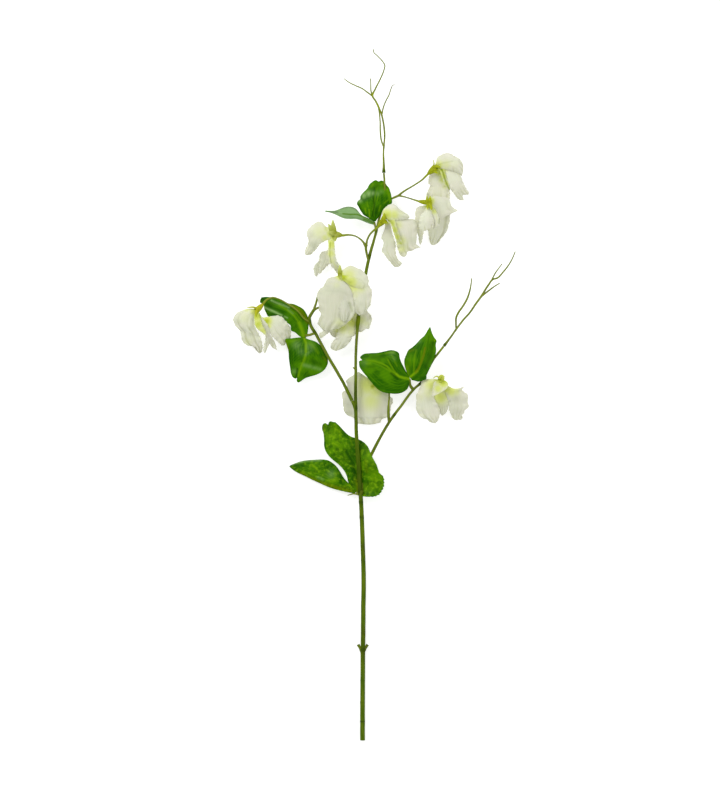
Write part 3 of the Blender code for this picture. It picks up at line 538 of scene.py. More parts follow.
grow(
    "top_curl", "top_tendril",
    stalks=[
        (
            [(9.8, 222.3, 22.5), (9.6, 234, 22.5), (9.4, 243.5, 22.5), (9.9, 250, 22.5),
             (10.6, 258.5, 22.5), (9.6, 270.5, 22.5), (7.6, 280, 22.5), (4.6, 288, 22.5),
             (1.6, 294.1, 22.5), (-1.5, 299, 22.5), (1.3, 306, 22), (5.8, 315, 21), (9.9, 325, 20),
             (10.8, 329.4, 19.5), (8.4, 333.9, 19), (3.8, 339, 18.5), (-0.5, 343.6, 18), (-0.5, 346, 18)],
            [1.5, 1.0, 0.8, 0.9, 0.9, 0.9, 0.9, 0.75, 0.65, 0.55, 0.45],
            [(1, 0.3, 3, 0.7), (26, 0.2, 2.5, 0.3), (59, 0.1, 2, 0), (68, 0.1, 6, -0.7),
             (81, 0.15, 3, -0.8)],
        ),
        (
            [(9.7, 248, 22.5), (7.5, 254, 23), (6.3, 263.5, 23.5), (6.1, 273.5, 23.5), (5.1, 283, 23),
             (4, 289.5, 22.5)],
            [0.8, 0.8, 0.7, 0.6], [],
        ),
        (
            [(7.8, 280.8, 22.5), (9.4, 287.9, 23.5), (11.9, 294.1, 25), (15, 300.2, 26), (17, 306.3, 26.5),
             (18.7, 309.6, 26.5), (21.6, 309.9, 26)],
            [0.75, 0.6, 0.55, 0.3], [],
        ),
        (
            [(-1.4, 298.8, 22.5), (-6.3, 302.4, 23), (-11.3, 306, 23), (-18.7, 309.6, 22), (-26, 313.4, 21),
             (-29.8, 316.4, 21)],
            [0.8, 0.65, 0.6, 0.4], [],
        ),
        (
            [(-1.4, 298.9, 22.5), (-3.1, 304.3, 22.5), (-3.3, 310, 22), (-3.5, 316.5, 21.5)],
            [0.8, 0.6, 0.5], [],
        ),
    ],
    **thread,
)
grow(
    "right_curl", "right_tendril",
    stalks=[
        (
            [(69.7, 49.24, 21.01), (76, 57.8, 21.5), (82.6, 67.1, 22), (88.9, 75.3, 22.5), (96, 83.2, 23),
             (101.4, 91.2, 23.5), (106.7, 98.5, 24), (113.9, 110, 24), (119.2, 116.2, 24), (122.4, 117, 24),
             (129, 123.5, 23.5), (134.4, 130.5, 23), (138.4, 137.6, 22), (141, 143.9, 21.5)],
            [1.3, 1.0, 1.0, 1.0, 1.1, 1.0, 0.85, 0.7, 0.5],
            [(2, 0.3, 2, 0.6), (20, 0.15, 2, 0), (63, 0.1, 2, 0.2)],
        ),
        (
            [(82, 66.2, 22), (81.7, 72, 22.5), (82, 78, 23), (84.4, 83.2, 24), (88.9, 89.5, 25),
             (93.3, 97.5, 25), (96, 106.5, 24), (97.6, 117.1, 23)],
            [0.9, 1.05, 0.95, 0.5], [],
        ),
        (
            [(106.2, 98, 24), (112, 102.8, 24.5), (119.2, 108.2, 24.5), (125.5, 112.2, 24)],
            [1.0, 0.8, 0.5], [],
        ),
        (
            [(113.5, 109.4, 24), (117, 114.5, 25), (120.4, 121, 25), (123.7, 126, 25),
             (127.7, 131.5, 24.5)],
            [0.85, 0.7, 0.45], [],
        ),
    ],
    **thread,
)


# The leaflets: eight glossy green blades in four pairs, each folded a little along its midrib, with fine
# veins that leave the midrib at a slant. The upper face carries painted highlights where its gloss would
# catch the light and painted shadow in some of its folds, and the slim one in the top pair turns its greyer
# underside up.
def sheet_object(name, sheets, thickness):
    """A thin wall along one or more grids, each (places of rows, columns, 3, {attribute: its values})."""
    points, faces, flats, values, start = [], [], [], {}, 0
    for places, attributes in sheets:
        rows, columns = places.shape[:2]
        index = start + np.arange(rows * columns).reshape(rows, columns)
        corners = (index[:-1, :-1], index[:-1, 1:], index[1:, 1:], index[1:, :-1])
        quads = np.stack(corners, axis=-1).reshape(-1, 4)
        up = np.cross(places[1:, :-1] - places[:-1, :-1], places[:-1, 1:] - places[:-1, :-1])[..., 2].sum()
        faces.append(quads[:, ::-1] if up > 0 else quads)
        points.append(places.reshape(-1, 3) * MM)
        grid = np.meshgrid(np.linspace(0, 1, columns), np.linspace(0, 1, rows))
        flats.append(np.stack(grid, axis=-1).reshape(-1, 2))
        for label, marks in attributes.items():
            values.setdefault(label, []).append(np.broadcast_to(marks, (rows, columns)).ravel())
        start += rows * columns
    mesh = bpy.data.meshes.new(name)
    mesh.from_pydata(np.concatenate(points).tolist(), [], np.concatenate(faces).tolist())
    mesh.validate()
    loop_points = np.zeros(len(mesh.loops), np.int32)
    mesh.loops.foreach_get("vertex_index", loop_points)
    flat = np.concatenate(flats)[loop_points].ravel().astype(np.float32)
    mesh.uv_layers.new(name="UVMap").uv.foreach_set("vector", flat)
    for label, marks in values.items():
        marks = np.concatenate(marks).astype(np.float32)
        mesh.attributes.new(label, "FLOAT", "POINT").data.foreach_set("value", marks)
    mesh.shade_smooth()
    piece = bpy.data.objects.new(name, mesh)
    bpy.context.collection.objects.link(piece)
    wall = piece.modifiers.new("wall", "SOLIDIFY")
    wall.thickness = thickness * MM
    wall.offset = 0
    return piece


def spots(places, marks):
    """How strongly each place is marked, from soft round marks (x, y, radius, strength)."""
    total = np.zeros(places.shape[:2])
    for x, y, radius, strength in marks:
        away = np.hypot(places[..., 0] - x, places[..., 1] - y) / radius
        total = np.maximum(total, strength * np.exp(-(away**2)))
    return total


def strokes(places, marks):
    """How strongly each place is marked, from soft lines along some points: (points, width, strength)."""
    total = np.zeros(places.shape[:2])
    for points, width, strength in marks:
        points = np.array(points, float)
        for start, end in zip(points[:-1], points[1:]):
            share = ((places[..., :2] - start) @ (end - start)) / ((end - start) @ (end - start))
            nearest = start + np.clip(share, 0, 1)[..., None] * (end - start)
            away = np.linalg.norm(places[..., :2] - nearest, axis=2) / width
            total = np.maximum(total, strength * np.exp(-(away**2)))
    return total


def gentle_waves(generator, at, waves, strength):
    """A smooth random curve along at: sine waves of the given counts over its length."""
    total = np.zeros_like(at)
    for count in waves:
        total = total + np.sin(math.tau * (count * at + generator.random())) * generator.uniform(0.6, 1)
    return strength * total / len(waves)


def tip_bulge(middle, rows_back, tip, across, along):
    """How far each place moves on along the middle line, so that the end bulges past its corners."""
    ahead = middle[-1] - middle[-1 - rows_back]
    ahead = ahead / np.linalg.norm(ahead)
    return ahead * along_steps(tip, across)[None, :, None] * (along**4)[:, None, None]


def leaflet(
    name, edges, midrib, rise, droop, tip, skin, seed, highlight_spots=(), highlight_lines=(), limes=(), darks=(), rusts=(),
    flecks=0.0, saw=None,
):
    """A leaf blade between its two edges, creased along its midrib, seen as a map with heights over it.

    The edges and the midrib run from the stalk to the tip. The rise is the midrib's height at even steps,
    the droop how far each edge hangs below it, and the tip how far the blade's end bulges past its corners.
    A saw is (teeth over the whole edge, their depth, where they start, where they end), on the second edge.
    The highlight spots are painted highlights (x, y, radius, strength). Lines (points, width, strength) are
    painted highlights as highlight lines, pale green as limes, deep green and painted fold shadow as darks,
    and old, browner green as rusts.
    """
    rows, columns = 96, 60
    groove_depth, groove_width = 0.35, 0.05
    ripple_waves, roll_waves = (2.2, 3.7, 5.1), (1.4, 2.6)
    vein_count, vein_slant, vein_width, vein_depth = 15, 0.42, 0.16, 0.1
    rib_mark_width, rib_mark_strength, vein_mark_strength = 0.045, 0.6, 0.12
    ripple_height, roll_height = 0.7, 0.35
    thickness = 0.45
    v = np.linspace(0, 1, rows + 1)
    u = np.linspace(-1, 1, columns + 1)
    first, second = (smooth_run(edge, v) for edge in edges)
    rib = smooth_run(midrib, v)
    side = np.abs(u)[None, :, None]
    edge = np.where((u < 0)[None, :, None], first[:, None], second[:, None])
    flat = rib[:, None] * (1 - side) + edge * side
    generator = np.random.default_rng(seed)
    flat = flat + tip_bulge(rib, 3, tip, across=(u + 1) / 2, along=v)
    if saw is not None:
        count, depth, start, end = saw
        teeth = depth * (np.abs((v * count) % 1 - 0.5) - 0.25) * ((v > start) & (v < end))
        outwards = (second - rib)[:, None] / np.linalg.norm(second - rib, axis=1)[:, None, None]
        edge_share = np.array([0.2, 0.5, 0.8, 1])
        flat[:, -4:] += outwards * (teeth[:, None, None] * edge_share[None, :, None])
    hang = [along_steps(side_droop, v)[:, None] for side_droop in droop]
    height = along_steps(rise, v)[:, None]
    v, u, side = v[:, None], u[None], np.abs(u)[None]
    height = height - np.where(u < 0, *hang) * side**1.7
    height = height - groove_depth * np.exp(-((u / groove_width) ** 2)) * (1 - v**3)
    slant = v - vein_slant * side**1.2
    vein = np.exp(-(((slant * vein_count) % 1 - 0.5) / vein_width) ** 2) * np.clip(side * 6, 0, 1)
    vein = vein * np.clip((1 - side) * 5, 0, 1)
    height = height - vein_depth * vein
    ripple = gentle_waves(generator, v, ripple_waves, ripple_height) * side**3
    roll = gentle_waves(generator, v, roll_waves, roll_height) * u * v
    height = height + ripple + roll
    places = np.dstack((flat, height))
    rib_line = np.exp(-((u / rib_mark_width) ** 2)) * (1 - 0.7 * v)
    ribs = np.maximum(vein_mark_strength * vein, rib_mark_strength * rib_line)
    # Painted highlights, in spots and lines, stand where the blade's gloss would catch the lamps.
    piece = sheet_object(name + "_blade", [(places, {
        "painted_highlight": np.maximum(spots(places, highlight_spots), strokes(places, highlight_lines)),
        "fleck": flecks,
        "vein": np.maximum(ribs, strokes(places, limes)),
        # The dark lines are deep green in places and painted shadow along the blade's folds in others.
        "dark": strokes(places, darks),
        "rust": strokes(places, rusts),
    })], thickness)
    piece.data.materials.append(skin)
    settle(piece, name)


def fibres(tree, fineness, stretch):
    """Growth streaks over the piece's own map, from its foot to its tip. It returns their value."""
    flat = tree.nodes.new("ShaderNodeUVMap")
    split = tree.nodes.new("ShaderNodeSeparateXYZ")
    wire(tree, flat.outputs["UV"], split.inputs["Vector"])
    return streaks(tree, split.outputs["X"], split.outputs["Y"], fineness, stretch)


def leaf_material(name, deep, fresh, pale, shade):
    """Leaf green in deep and fresh patches, with paler veins, dark lines, flecks and painted highlights."""
    old_green = (0.125, 0.165, 0.0)
    fleck_green = (0.23, 0.43, 0.006)
    highlight_green = (0.25, 0.41, 0.13)
    made, tree, shader = new_material(name)
    fibre = fibres(tree, fineness=22, stretch=2.2)
    patch = speckle(tree, scale=60, detail=3)
    green = blend_colours(tree, between(tree, patch, 0.4, 0.66), deep, fresh)
    green = blend_colours(tree, between(tree, fibre, 0.42, 0.7, high_out=0.75), green, fresh)
    # The dark lines take the shade colour: deep green, and painted shadow where they follow a fold.
    for label, colour in (("vein", pale), ("dark", shade), ("rust", old_green)):
        green = blend_colours(tree, attribute(tree, label), green, colour)
    fine_flecks = (300, 3.5, 0.46, 0.76, fleck_green)
    mottles = (190, 3, 0.5, 0.68, shade)
    for scale, detail, low, high, colour in (fine_flecks, mottles):
        spot = between(tree, speckle(tree, scale, detail), low, high)
        spot = math_node(tree, "MULTIPLY", spot, attribute(tree, "fleck"))
        green = blend_colours(tree, spot, green, colour)
    # Painted highlights: a grey-green wash, broken up by the fibres, where the gloss would catch the light.
    highlight_streaks = between(tree, fibre, 0.25, 0.6, low_out=0.55)
    highlight_share = math_node(tree, "MULTIPLY", attribute(tree, "painted_highlight"), highlight_streaks)
    wire(tree, blend_colours(tree, highlight_share, green, highlight_green), shader.inputs["Base Color"])
    wire(tree, between(tree, patch, 0.3, 0.7, 0.36, 0.5), shader.inputs["Roughness"])
    shader.inputs["Specular IOR Level"].default_value = 0.03
    grain = math_node(tree, "ADD", fibre, speckle(tree, scale=700, detail=2))
    relief(tree, shader, grain, 0.12 * MM)
    return made


leaf_face = leaf_material(
    "leaf_face", deep=(0.014, 0.095, 0.0), fresh=(0.060, 0.195, 0.0), pale=(0.160, 0.320, 0.001),
    shade=(0.010, 0.062, 0.0),
)
leaf_back = leaf_material(
    "leaf_back", deep=(0.180, 0.320, 0.120), fresh=(0.250, 0.400, 0.170), pale=(0.075, 0.180, 0.004),
    shade=(0.120, 0.180, 0.090),
)

leaflet(
    "leaflet_top_round",
    edges=[
        [(0, 174), (-3, 175.7), (-7, 178.2), (-10.5, 180.5), (-13, 184), (-15.5, 188.5), (-17.1, 192.1),
         (-16, 194.2), (-13.8, 196.3), (-13.6, 198.7), (-11, 202.5), (-7, 206.5), (-4, 211.5), (-1, 214)],
        [(1.5, 174), (4.5, 178), (7, 182), (11, 186), (15, 189), (17.6, 191.5), (17.4, 198.5), (16, 204.5),
         (15, 207.2), (12.6, 210.2), (10.6, 213.3)],
    ],
    midrib=[(0.6, 173.7), (-0.4, 181.5), (0, 190.5), (1.6, 199.5), (3.5, 207.5), (4.6, 213.9)],
    rise=[21.4, 22.6, 23, 22.6, 21.2, 18.4],
    droop=[[0.2, 1, 2, 2.4, 1.6, 0.8], [0.2, 0.6, 0.6, 0.6, 1, 0.6]],
    tip=[0, 0.9, 1.2, 0.6, 0, 0.8, 1.2, 0.7, 0], skin=leaf_face, seed=11,
    highlight_spots=[(-10, 199.6, 3, 0.85), (-5.4, 201.6, 3, 0.85), (-1.6, 202, 2.2, 0.6), (-14, 194.6, 2, 0.8),
            (3.6, 201.6, 2.4, 0.3), (7.4, 203.4, 2.4, 0.2)],
    limes=[
        ([(-4.4, 178.5), (-5, 185.5)], 0.8, 0.7), ([(-8, 182.1), (-9, 186.9)], 0.8, 0.55),
        ([(-1.2, 185.5), (0, 190.9)], 0.7, 0.55), ([(4.8, 184.1), (6.4, 189.5)], 0.8, 0.5),
        ([(-6, 188.5), (-7, 192.9)], 0.8, 0.35), ([(10, 192.1), (15, 195.9)], 0.9, 0.35),
        ([(13.4, 205.5), (17, 194.5)], 1.8, 0.4), ([(-2.6, 208.1), (-1, 211.1)], 0.9, 0.4),
        ([(7.6, 211.1), (9.4, 213.1)], 1, 0.5), ([(3, 194.5), (4.4, 200.5)], 0.8, 0.25),
    ],
    darks=[
        ([(-1.4, 179.5), (0.2, 190.5), (-1, 199.1), (0.6, 207.5)], 1.1, 0.85),
        ([(-15.4, 190.5), (-11.4, 182.9), (-6.4, 176.9)], 1.3, 0.7),
        ([(-12.6, 194.9), (-6, 196.7), (-1.6, 198.5)], 0.8, 0.6), ([(-4, 205.9), (4, 209.5)], 2, 0.45),
        ([(2, 181.9), (2.4, 186.5)], 1.8, 0.6), ([(11.2, 189.5), (14, 192.9)], 1, 0.4),
    ],
)
leaflet(
    "leaflet_top_slim",
    edges=[
        [(0.6, 170.3), (-4, 171.5), (-9, 173.5), (-14, 175.5), (-18, 176.5), (-24, 176.5), (-29, 176.9),
         (-34, 178.7), (-39, 181), (-44, 182.9), (-48, 183.6)],
        [(1.4, 172.9), (-3, 175.7), (-8, 177.9), (-13, 180.5), (-15, 182.9), (-17.5, 186), (-21, 188.1),
         (-25, 188.7), (-30, 188), (-35, 186.1), (-39, 184.7), (-44, 184.5), (-48, 184.7)],
    ],
    midrib=[(1.2, 171.5), (-6, 174.9), (-14, 178.3), (-22, 180.9), (-30, 180.9), (-37, 182.7), (-43, 183.7),
            (-48, 184.2)],
    rise=[20.4, 21.6, 21.6, 20.6, 19, 17.4],
    droop=[[0.2, 1.6, 2.4, 2, 1, 0.3], [0.2, 1, 1.6, 1.4, 0.8, 0.3]], tip=[0, 0.8, 1, 0.8, 0],
    skin=leaf_back, seed=12,
    limes=[
        ([(-31, 181.5), (-24, 180.9), (-17, 180.9), (-12, 178.9), (-5, 175.7)], 0.8, 1),
        ([(-10, 176.1), (-4, 173.9), (1, 171.9)], 1.4, 0.8),
    ],
    darks=[
        ([(-34, 186.6), (-25, 188.6), (-18.4, 186.3), (-14.6, 182.7), (-11, 179.5)], 0.8, 0.8),
        ([(-43, 183.9), (-37, 183.3)], 1.2, 0.7),
    ],
)
leaflet(
    "leaflet_left_upper",
    edges=[
        [(-70.6, 57.5), (-73, 58.3), (-76, 60.5), (-79, 63.1), (-82.8, 64.9), (-83.4, 70.1), (-87, 72.9),
         (-90, 76.5), (-93, 78.9), (-99, 79.3), (-106.2, 79.5), (-108, 82.9), (-109.6, 86.5),
         (-110.6, 90.9), (-114, 93.1)],
        [(-68, 57.5), (-66.4, 62.5), (-65.6, 68.5), (-65.4, 74.5), (-67, 80.5), (-71, 86.5), (-76, 89.5),
         (-81, 91.5), (-86, 92.1), (-91, 93.9), (-97, 96.7), (-104, 98.3), (-109, 98.6), (-112.6, 98.1)],
    ],
    midrib=[(-69.2, 57.5), (-71.4, 65.5), (-75.4, 73.5), (-81, 81), (-89, 87.1), (-98, 91.3), (-106, 94.1),
            (-113.2, 95.9)],
    rise=[16.6, 16.8, 16.8, 16.2, 15, 13.6, 11.8],
    droop=[[0.2, 1.4, 2, 2, 2, 1.6, 0.8], [0.2, 1.2, 2.4, 3, 3, 2.2, 1]], tip=[0, 0.4, 0.4, 0.2, 0],
    skin=leaf_face, seed=13,
    highlight_lines=[
        ([(-102.6, 95.1), (-98, 92.9), (-91, 90.5), (-85, 87.9)], 1.0, 0.7),
        ([(-110.2, 88.5), (-106, 86.5), (-99, 83.5), (-92.4, 80.3)], 1.1, 0.95),
        ([(-89.6, 79.1), (-86.6, 77.7)], 0.8, 0.6), ([(-86, 86.1), (-81, 81.9)], 0.9, 0.25),
    ],
    limes=[
        ([(-70, 59.5), (-72, 65.9), (-75, 72.9)], 2.0, 0.75),
        ([(-75, 72.9), (-80, 79.9), (-87, 85.9), (-95, 90.5)], 1.1, 0.6),
        ([(-83, 85.9), (-77, 80.9), (-73, 75.5)], 0.9, 0.35),
    ],
    darks=[
        ([(-107.4, 81.5), (-98, 80.7), (-90, 79.3)], 1.2, 0.8),
        ([(-109, 91.9), (-100, 88.5), (-91, 83.5)], 1.4, 0.45), ([(-112, 96.9), (-108, 95.1)], 1.6, 0.8),
        ([(-81, 65.9), (-77.6, 69.5)], 2, 0.3),
    ],
    rusts=[
        ([(-84, 91.1), (-75.4, 86.1), (-69.4, 79.5), (-66.4, 73.5)], 1.8, 0.75),
        ([(-78, 88.7), (-71, 83.9)], 1.2, 0.5),
    ],
)
leaflet(
    "leaflet_left_lower",
    edges=[
        [(-70.4, 58.1), (-74, 58.1), (-82, 57.3), (-88.7, 56.1), (-87.4, 50.5), (-85.8, 45.5), (-85, 35.5),
         (-83.8, 27.5), (-82.8, 21.5), (-81, 18.1), (-78.8, 16.9)],
        [(-68.2, 57.1), (-65, 55.9), (-61, 54.9), (-57, 53.1), (-53.6, 50.1), (-51, 45.9), (-48.6, 41.5),
         (-46.6, 37.5), (-46, 33.9), (-47, 29.9), (-49, 26.5), (-53, 23.1), (-58, 20.9), (-64, 19.2),
         (-69, 17.5), (-73, 14.7)],
    ],
    midrib=[(-69.4, 57.9), (-68, 52.1), (-67.5, 45.5), (-68, 39.5), (-70, 33.1), (-73, 25.5),
            (-76.4, 17.1)],
    rise=[16.4, 16.4, 16, 15, 13, 11, 8.8],
    droop=[[0.2, 1.6, 2.4, 2.6, 2.4, 1.6, 0.6], [0.2, 1.2, 2, 2.6, 2.4, 1.6, 0.6]],
    tip=[0, -0.4, -0.8, 2.2, 3.2, 2.4, 0.4], skin=leaf_face, seed=14,
    highlight_spots=[(-64, 48.6, 4.2, 0.3), (-77, 50.4, 4, 0.35), (-73, 44.2, 3.6, 0.25), (-80, 24.2, 2.6, 0.25)],
    highlight_lines=[([(-68, 40.9), (-63, 45.1)], 1.6, 0.25), ([(-69.6, 30.5), (-62, 28.5), (-54, 26.3)], 1.8, 0.3)],
    limes=[
        ([(-70, 58.9), (-68, 52.5), (-68, 43.5)], 1.3, 1),
        ([(-68, 43.5), (-69.4, 37.5), (-72, 31.5), (-74.4, 24.5), (-75.6, 19.5)], 0.9, 0.7),
        ([(-64, 51.9), (-59, 47.1), (-56, 42.5)], 1.6, 0.35), ([(-84, 54.1), (-75, 55.5)], 1.4, 0.3),
    ],
    darks=[
        ([(-83.6, 43.5), (-82, 32.5)], 1.6, 0.5), ([(-76.6, 26.9), (-77.8, 18.9)], 0.9, 0.9),
        ([(-62, 34.5), (-54, 31.5)], 2.6, 0.5), ([(-73, 40.5), (-72.4, 34.5)], 1.4, 0.5),
    ],
    rusts=[([(-88.4, 54.9), (-85.6, 45.9)], 1.2, 0.6), ([(-51, 38.5), (-47.4, 34.9)], 1.2, 0.4)],
)
leaflet(
    "leaflet_right_inner",
    edges=[
        [(36, 15.1), (35, 11.5), (33.6, 7.1), (30, 3.9), (24, 1.9), (16, 2.1), (9, 3.3), (4.5, 5.7),
         (0, 10.1), (-4, 14.9), (-8, 19.9), (-12, 24.9), (-14.4, 28.9), (-14.8, 32.7)],
        [(35.4, 17.9), (34, 20.5), (32, 23.9), (29.5, 28.7), (27, 33.5), (25.6, 37.9), (24.7, 42.5),
         (21, 44.7), (17, 45.3), (11, 44.2), (4, 42.7), (-4, 42.2), (-11, 41), (-13.4, 38.9)],
    ],
    midrib=[(36, 16.5), (30, 17.3), (24, 18.5), (19, 21.5), (14, 25.7), (8, 29.3), (-1, 32.9), (-8, 34.5),
            (-12.4, 35.7)],
    rise=[25, 25.6, 26.2, 26.2, 25.4, 24, 21.6],
    droop=[[0.3, 2, 3, 3, 2.6, 2, 1], [0.3, 2, 2.6, 3, 2.4, 1.8, 1]], tip=[0, 1, 0.6, -0.6, 0.6, 0.8, 0],
    skin=leaf_face, seed=15, highlight_spots=[(-10, 32.6, 3.4, 0.15), (18, 42.4, 3.2, 0.25), (20, 37.4, 2.6, 0.15)],
    limes=[
        ([(36.4, 16.5), (30, 17.5), (25, 18.9), (22, 21.5)], 1.3, 1),
        ([(22, 21.5), (19, 26.5), (16, 31.5), (14, 35.5)], 0.9, 0.55),
        ([(22, 21.5), (17, 24.5), (13, 29.1), (8, 31.9)], 0.9, 0.6),
        ([(8, 31.9), (1, 34.3), (-6.6, 34.9)], 1.2, 0.5),
        ([(23, 29.5), (20, 35.5), (17.4, 40.5)], 0.8, 0.35), ([(-7, 31.9), (-4, 32.1)], 1.6, 0.4),
        ([(12, 42.1), (20, 43.5)], 1.4, 0.4),
    ],
    darks=[
        ([(17, 22.1), (23.4, 16.9)], 1.3, 0.8), ([(-6, 28.7), (0, 28.9)], 1.8, 0.35),
        ([(-2, 38.1), (10, 38.5)], 1.8, 0.4), ([(25, 41.5), (26.6, 34.5), (30, 26.9)], 0.9, 0.7),
        ([(14.4, 37.5), (17.6, 31.5), (21, 25.5)], 0.7, 0.5), ([(-13, 38.1), (-6, 39.5)], 1.2, 0.5),
        ([(30, 5.9), (34.4, 11.9)], 1.2, 0.5),
    ],
    rusts=[([(6, 3.1), (2, 6.9)], 1.2, 0.5)],
)
leaflet(
    "leaflet_right_outer",
    edges=[
        [(36.6, 17.1), (34, 20.5), (31.5, 26.5), (30.3, 31.5), (30.3, 36), (32, 40.5), (34.5, 45.5),
         (38, 48), (41.5, 51), (46, 56), (50, 59.5), (53.5, 64.9), (55.4, 67.9)],
        [(37.6, 15.5), (41, 14.7), (45, 13.9), (48, 15.1), (52, 16.3), (52.4, 21.5), (54.5, 25.5),
         (57, 30.5), (59, 35.5), (61.2, 40.5), (62, 45.5), (61.6, 50.5), (62.4, 54.7), (59.8, 58.5),
         (57.5, 63.5), (56.2, 67.9)],
    ],
    midrib=[(36.8, 16.5), (40, 20.5), (44, 26.5), (47, 33.5), (49, 40.5), (51, 48.5), (53.5, 57.5),
            (55.7, 67.5)],
    rise=[25, 26, 27, 26.8, 25.6, 24, 22.2],
    droop=[[0.3, 2, 2.6, 2.4, 1.8, 1, 0.4], [0.3, 2, 2.6, 2.6, 2, 1.2, 0.4]], tip=[0, 0.7, 0],
    skin=leaf_face, seed=16, highlight_spots=[(45, 54.4, 2, 0.3)],
    limes=[
        ([(35.4, 17.9), (39, 20.9), (43, 24.5)], 1.3, 1), ([(33.4, 19.5), (33, 28.5)], 2.4, 0.45),
        ([(39.6, 24.5), (40, 35.5), (42, 45.5)], 0.9, 0.4),
        ([(45, 26.5), (46.6, 35.5), (47.4, 44.5)], 0.8, 0.4), ([(60.4, 54.9), (61.4, 55.7)], 1.2, 0.6),
        ([(36, 29.5), (36.4, 39.5)], 0.8, 0.25),
    ],
    darks=[
        ([(51, 28.5), (57, 42.5), (58.6, 52.5)], 2.2, 0.6), ([(47, 17.5), (51, 18.1)], 2, 0.6),
        ([(53, 45.5), (54.6, 59.5)], 0.8, 0.4), ([(30.6, 33.5), (32.6, 41.1)], 0.9, 0.5),
    ],
    rusts=[
        ([(41.6, 23.1), (44.6, 27.5), (47, 32.9), (49.6, 40.5), (50.8, 47.5)], 1.1, 0.8),
        ([(35.6, 44.1), (39, 45.5)], 1.2, 0.4),
    ],
)
leaflet(
    "leaflet_base_left",
    edges=[
        [(-18.6, -98.1), (-25, -97.1), (-31, -95.9), (-38, -94.1), (-46, -91.5), (-54, -87.9), (-62, -84.3),
         (-69, -80.8), (-76, -77.5), (-81, -74.5), (-84, -71.9)],
        [(-18.4, -95.9), (-22, -91.1), (-27, -86.1), (-29.4, -83.5), (-32, -79.5), (-35, -74.5),
         (-38, -70.5), (-42, -67.1), (-46, -64.9), (-52, -64), (-59, -64.3), (-67, -64.8), (-74, -66.2),
         (-80, -68.3), (-83.8, -70.1)],
    ],
    midrib=[(-18.4, -96.9), (-31, -91.1), (-44, -85.9), (-56, -81.1), (-69, -75.7), (-78, -72.5),
            (-84, -71)],
    rise=[7.6, 7.8, 7.8, 7, 5.8, 4.4, 3],
    droop=[[0.1, 1, 1.6, 1.6, 1.2, 0.8, 0.3], [0.1, 1.4, 2, 2, 1.6, 0.8, 0.3]], tip=[0, 0.8, 0],
    skin=leaf_face, seed=17, flecks=0.5, highlight_spots=[(-43, -78.6, 3.6, 0.3)],
    highlight_lines=[
        ([(-80, -68.3), (-68, -65.4), (-53, -64.8)], 0.8, 0.75), ([(-56, -81.9), (-51, -83.9)], 1.4, 0.25),
    ],
    limes=[
        ([(-58, -75.5), (-42, -82.5)], 5, 0.2), ([(-63, -69.5), (-59, -71.5), (-55, -76.5)], 1.2, 0.7),
        ([(-53.4, -68.5), (-51.4, -67.5)], 1, 0.5), ([(-44, -85.1), (-39, -84.7)], 2.2, 0.7),
        ([(-29.6, -91.1), (-24, -89.5)], 1.6, 0.6), ([(-38, -82.1), (-36, -85.9)], 1, 0.5),
        ([(-47, -74.5), (-43, -80.5)], 1.4, 0.35),
    ],
    darks=[
        ([(-44, -66.5), (-37, -71.1), (-33.4, -78.5), (-32.6, -86.5)], 1.6, 0.9),
        ([(-49, -70.5), (-45, -73.5)], 1.8, 0.5), ([(-71, -73.1), (-62, -76.9)], 1.4, 0.4),
        ([(-21, -95.1), (-18, -96.1)], 1.4, 0.9),
    ],
    rusts=[([(-74, -78.5), (-54, -87.5), (-35, -93.1), (-24, -95.5)], 2.2, 0.75)],
)
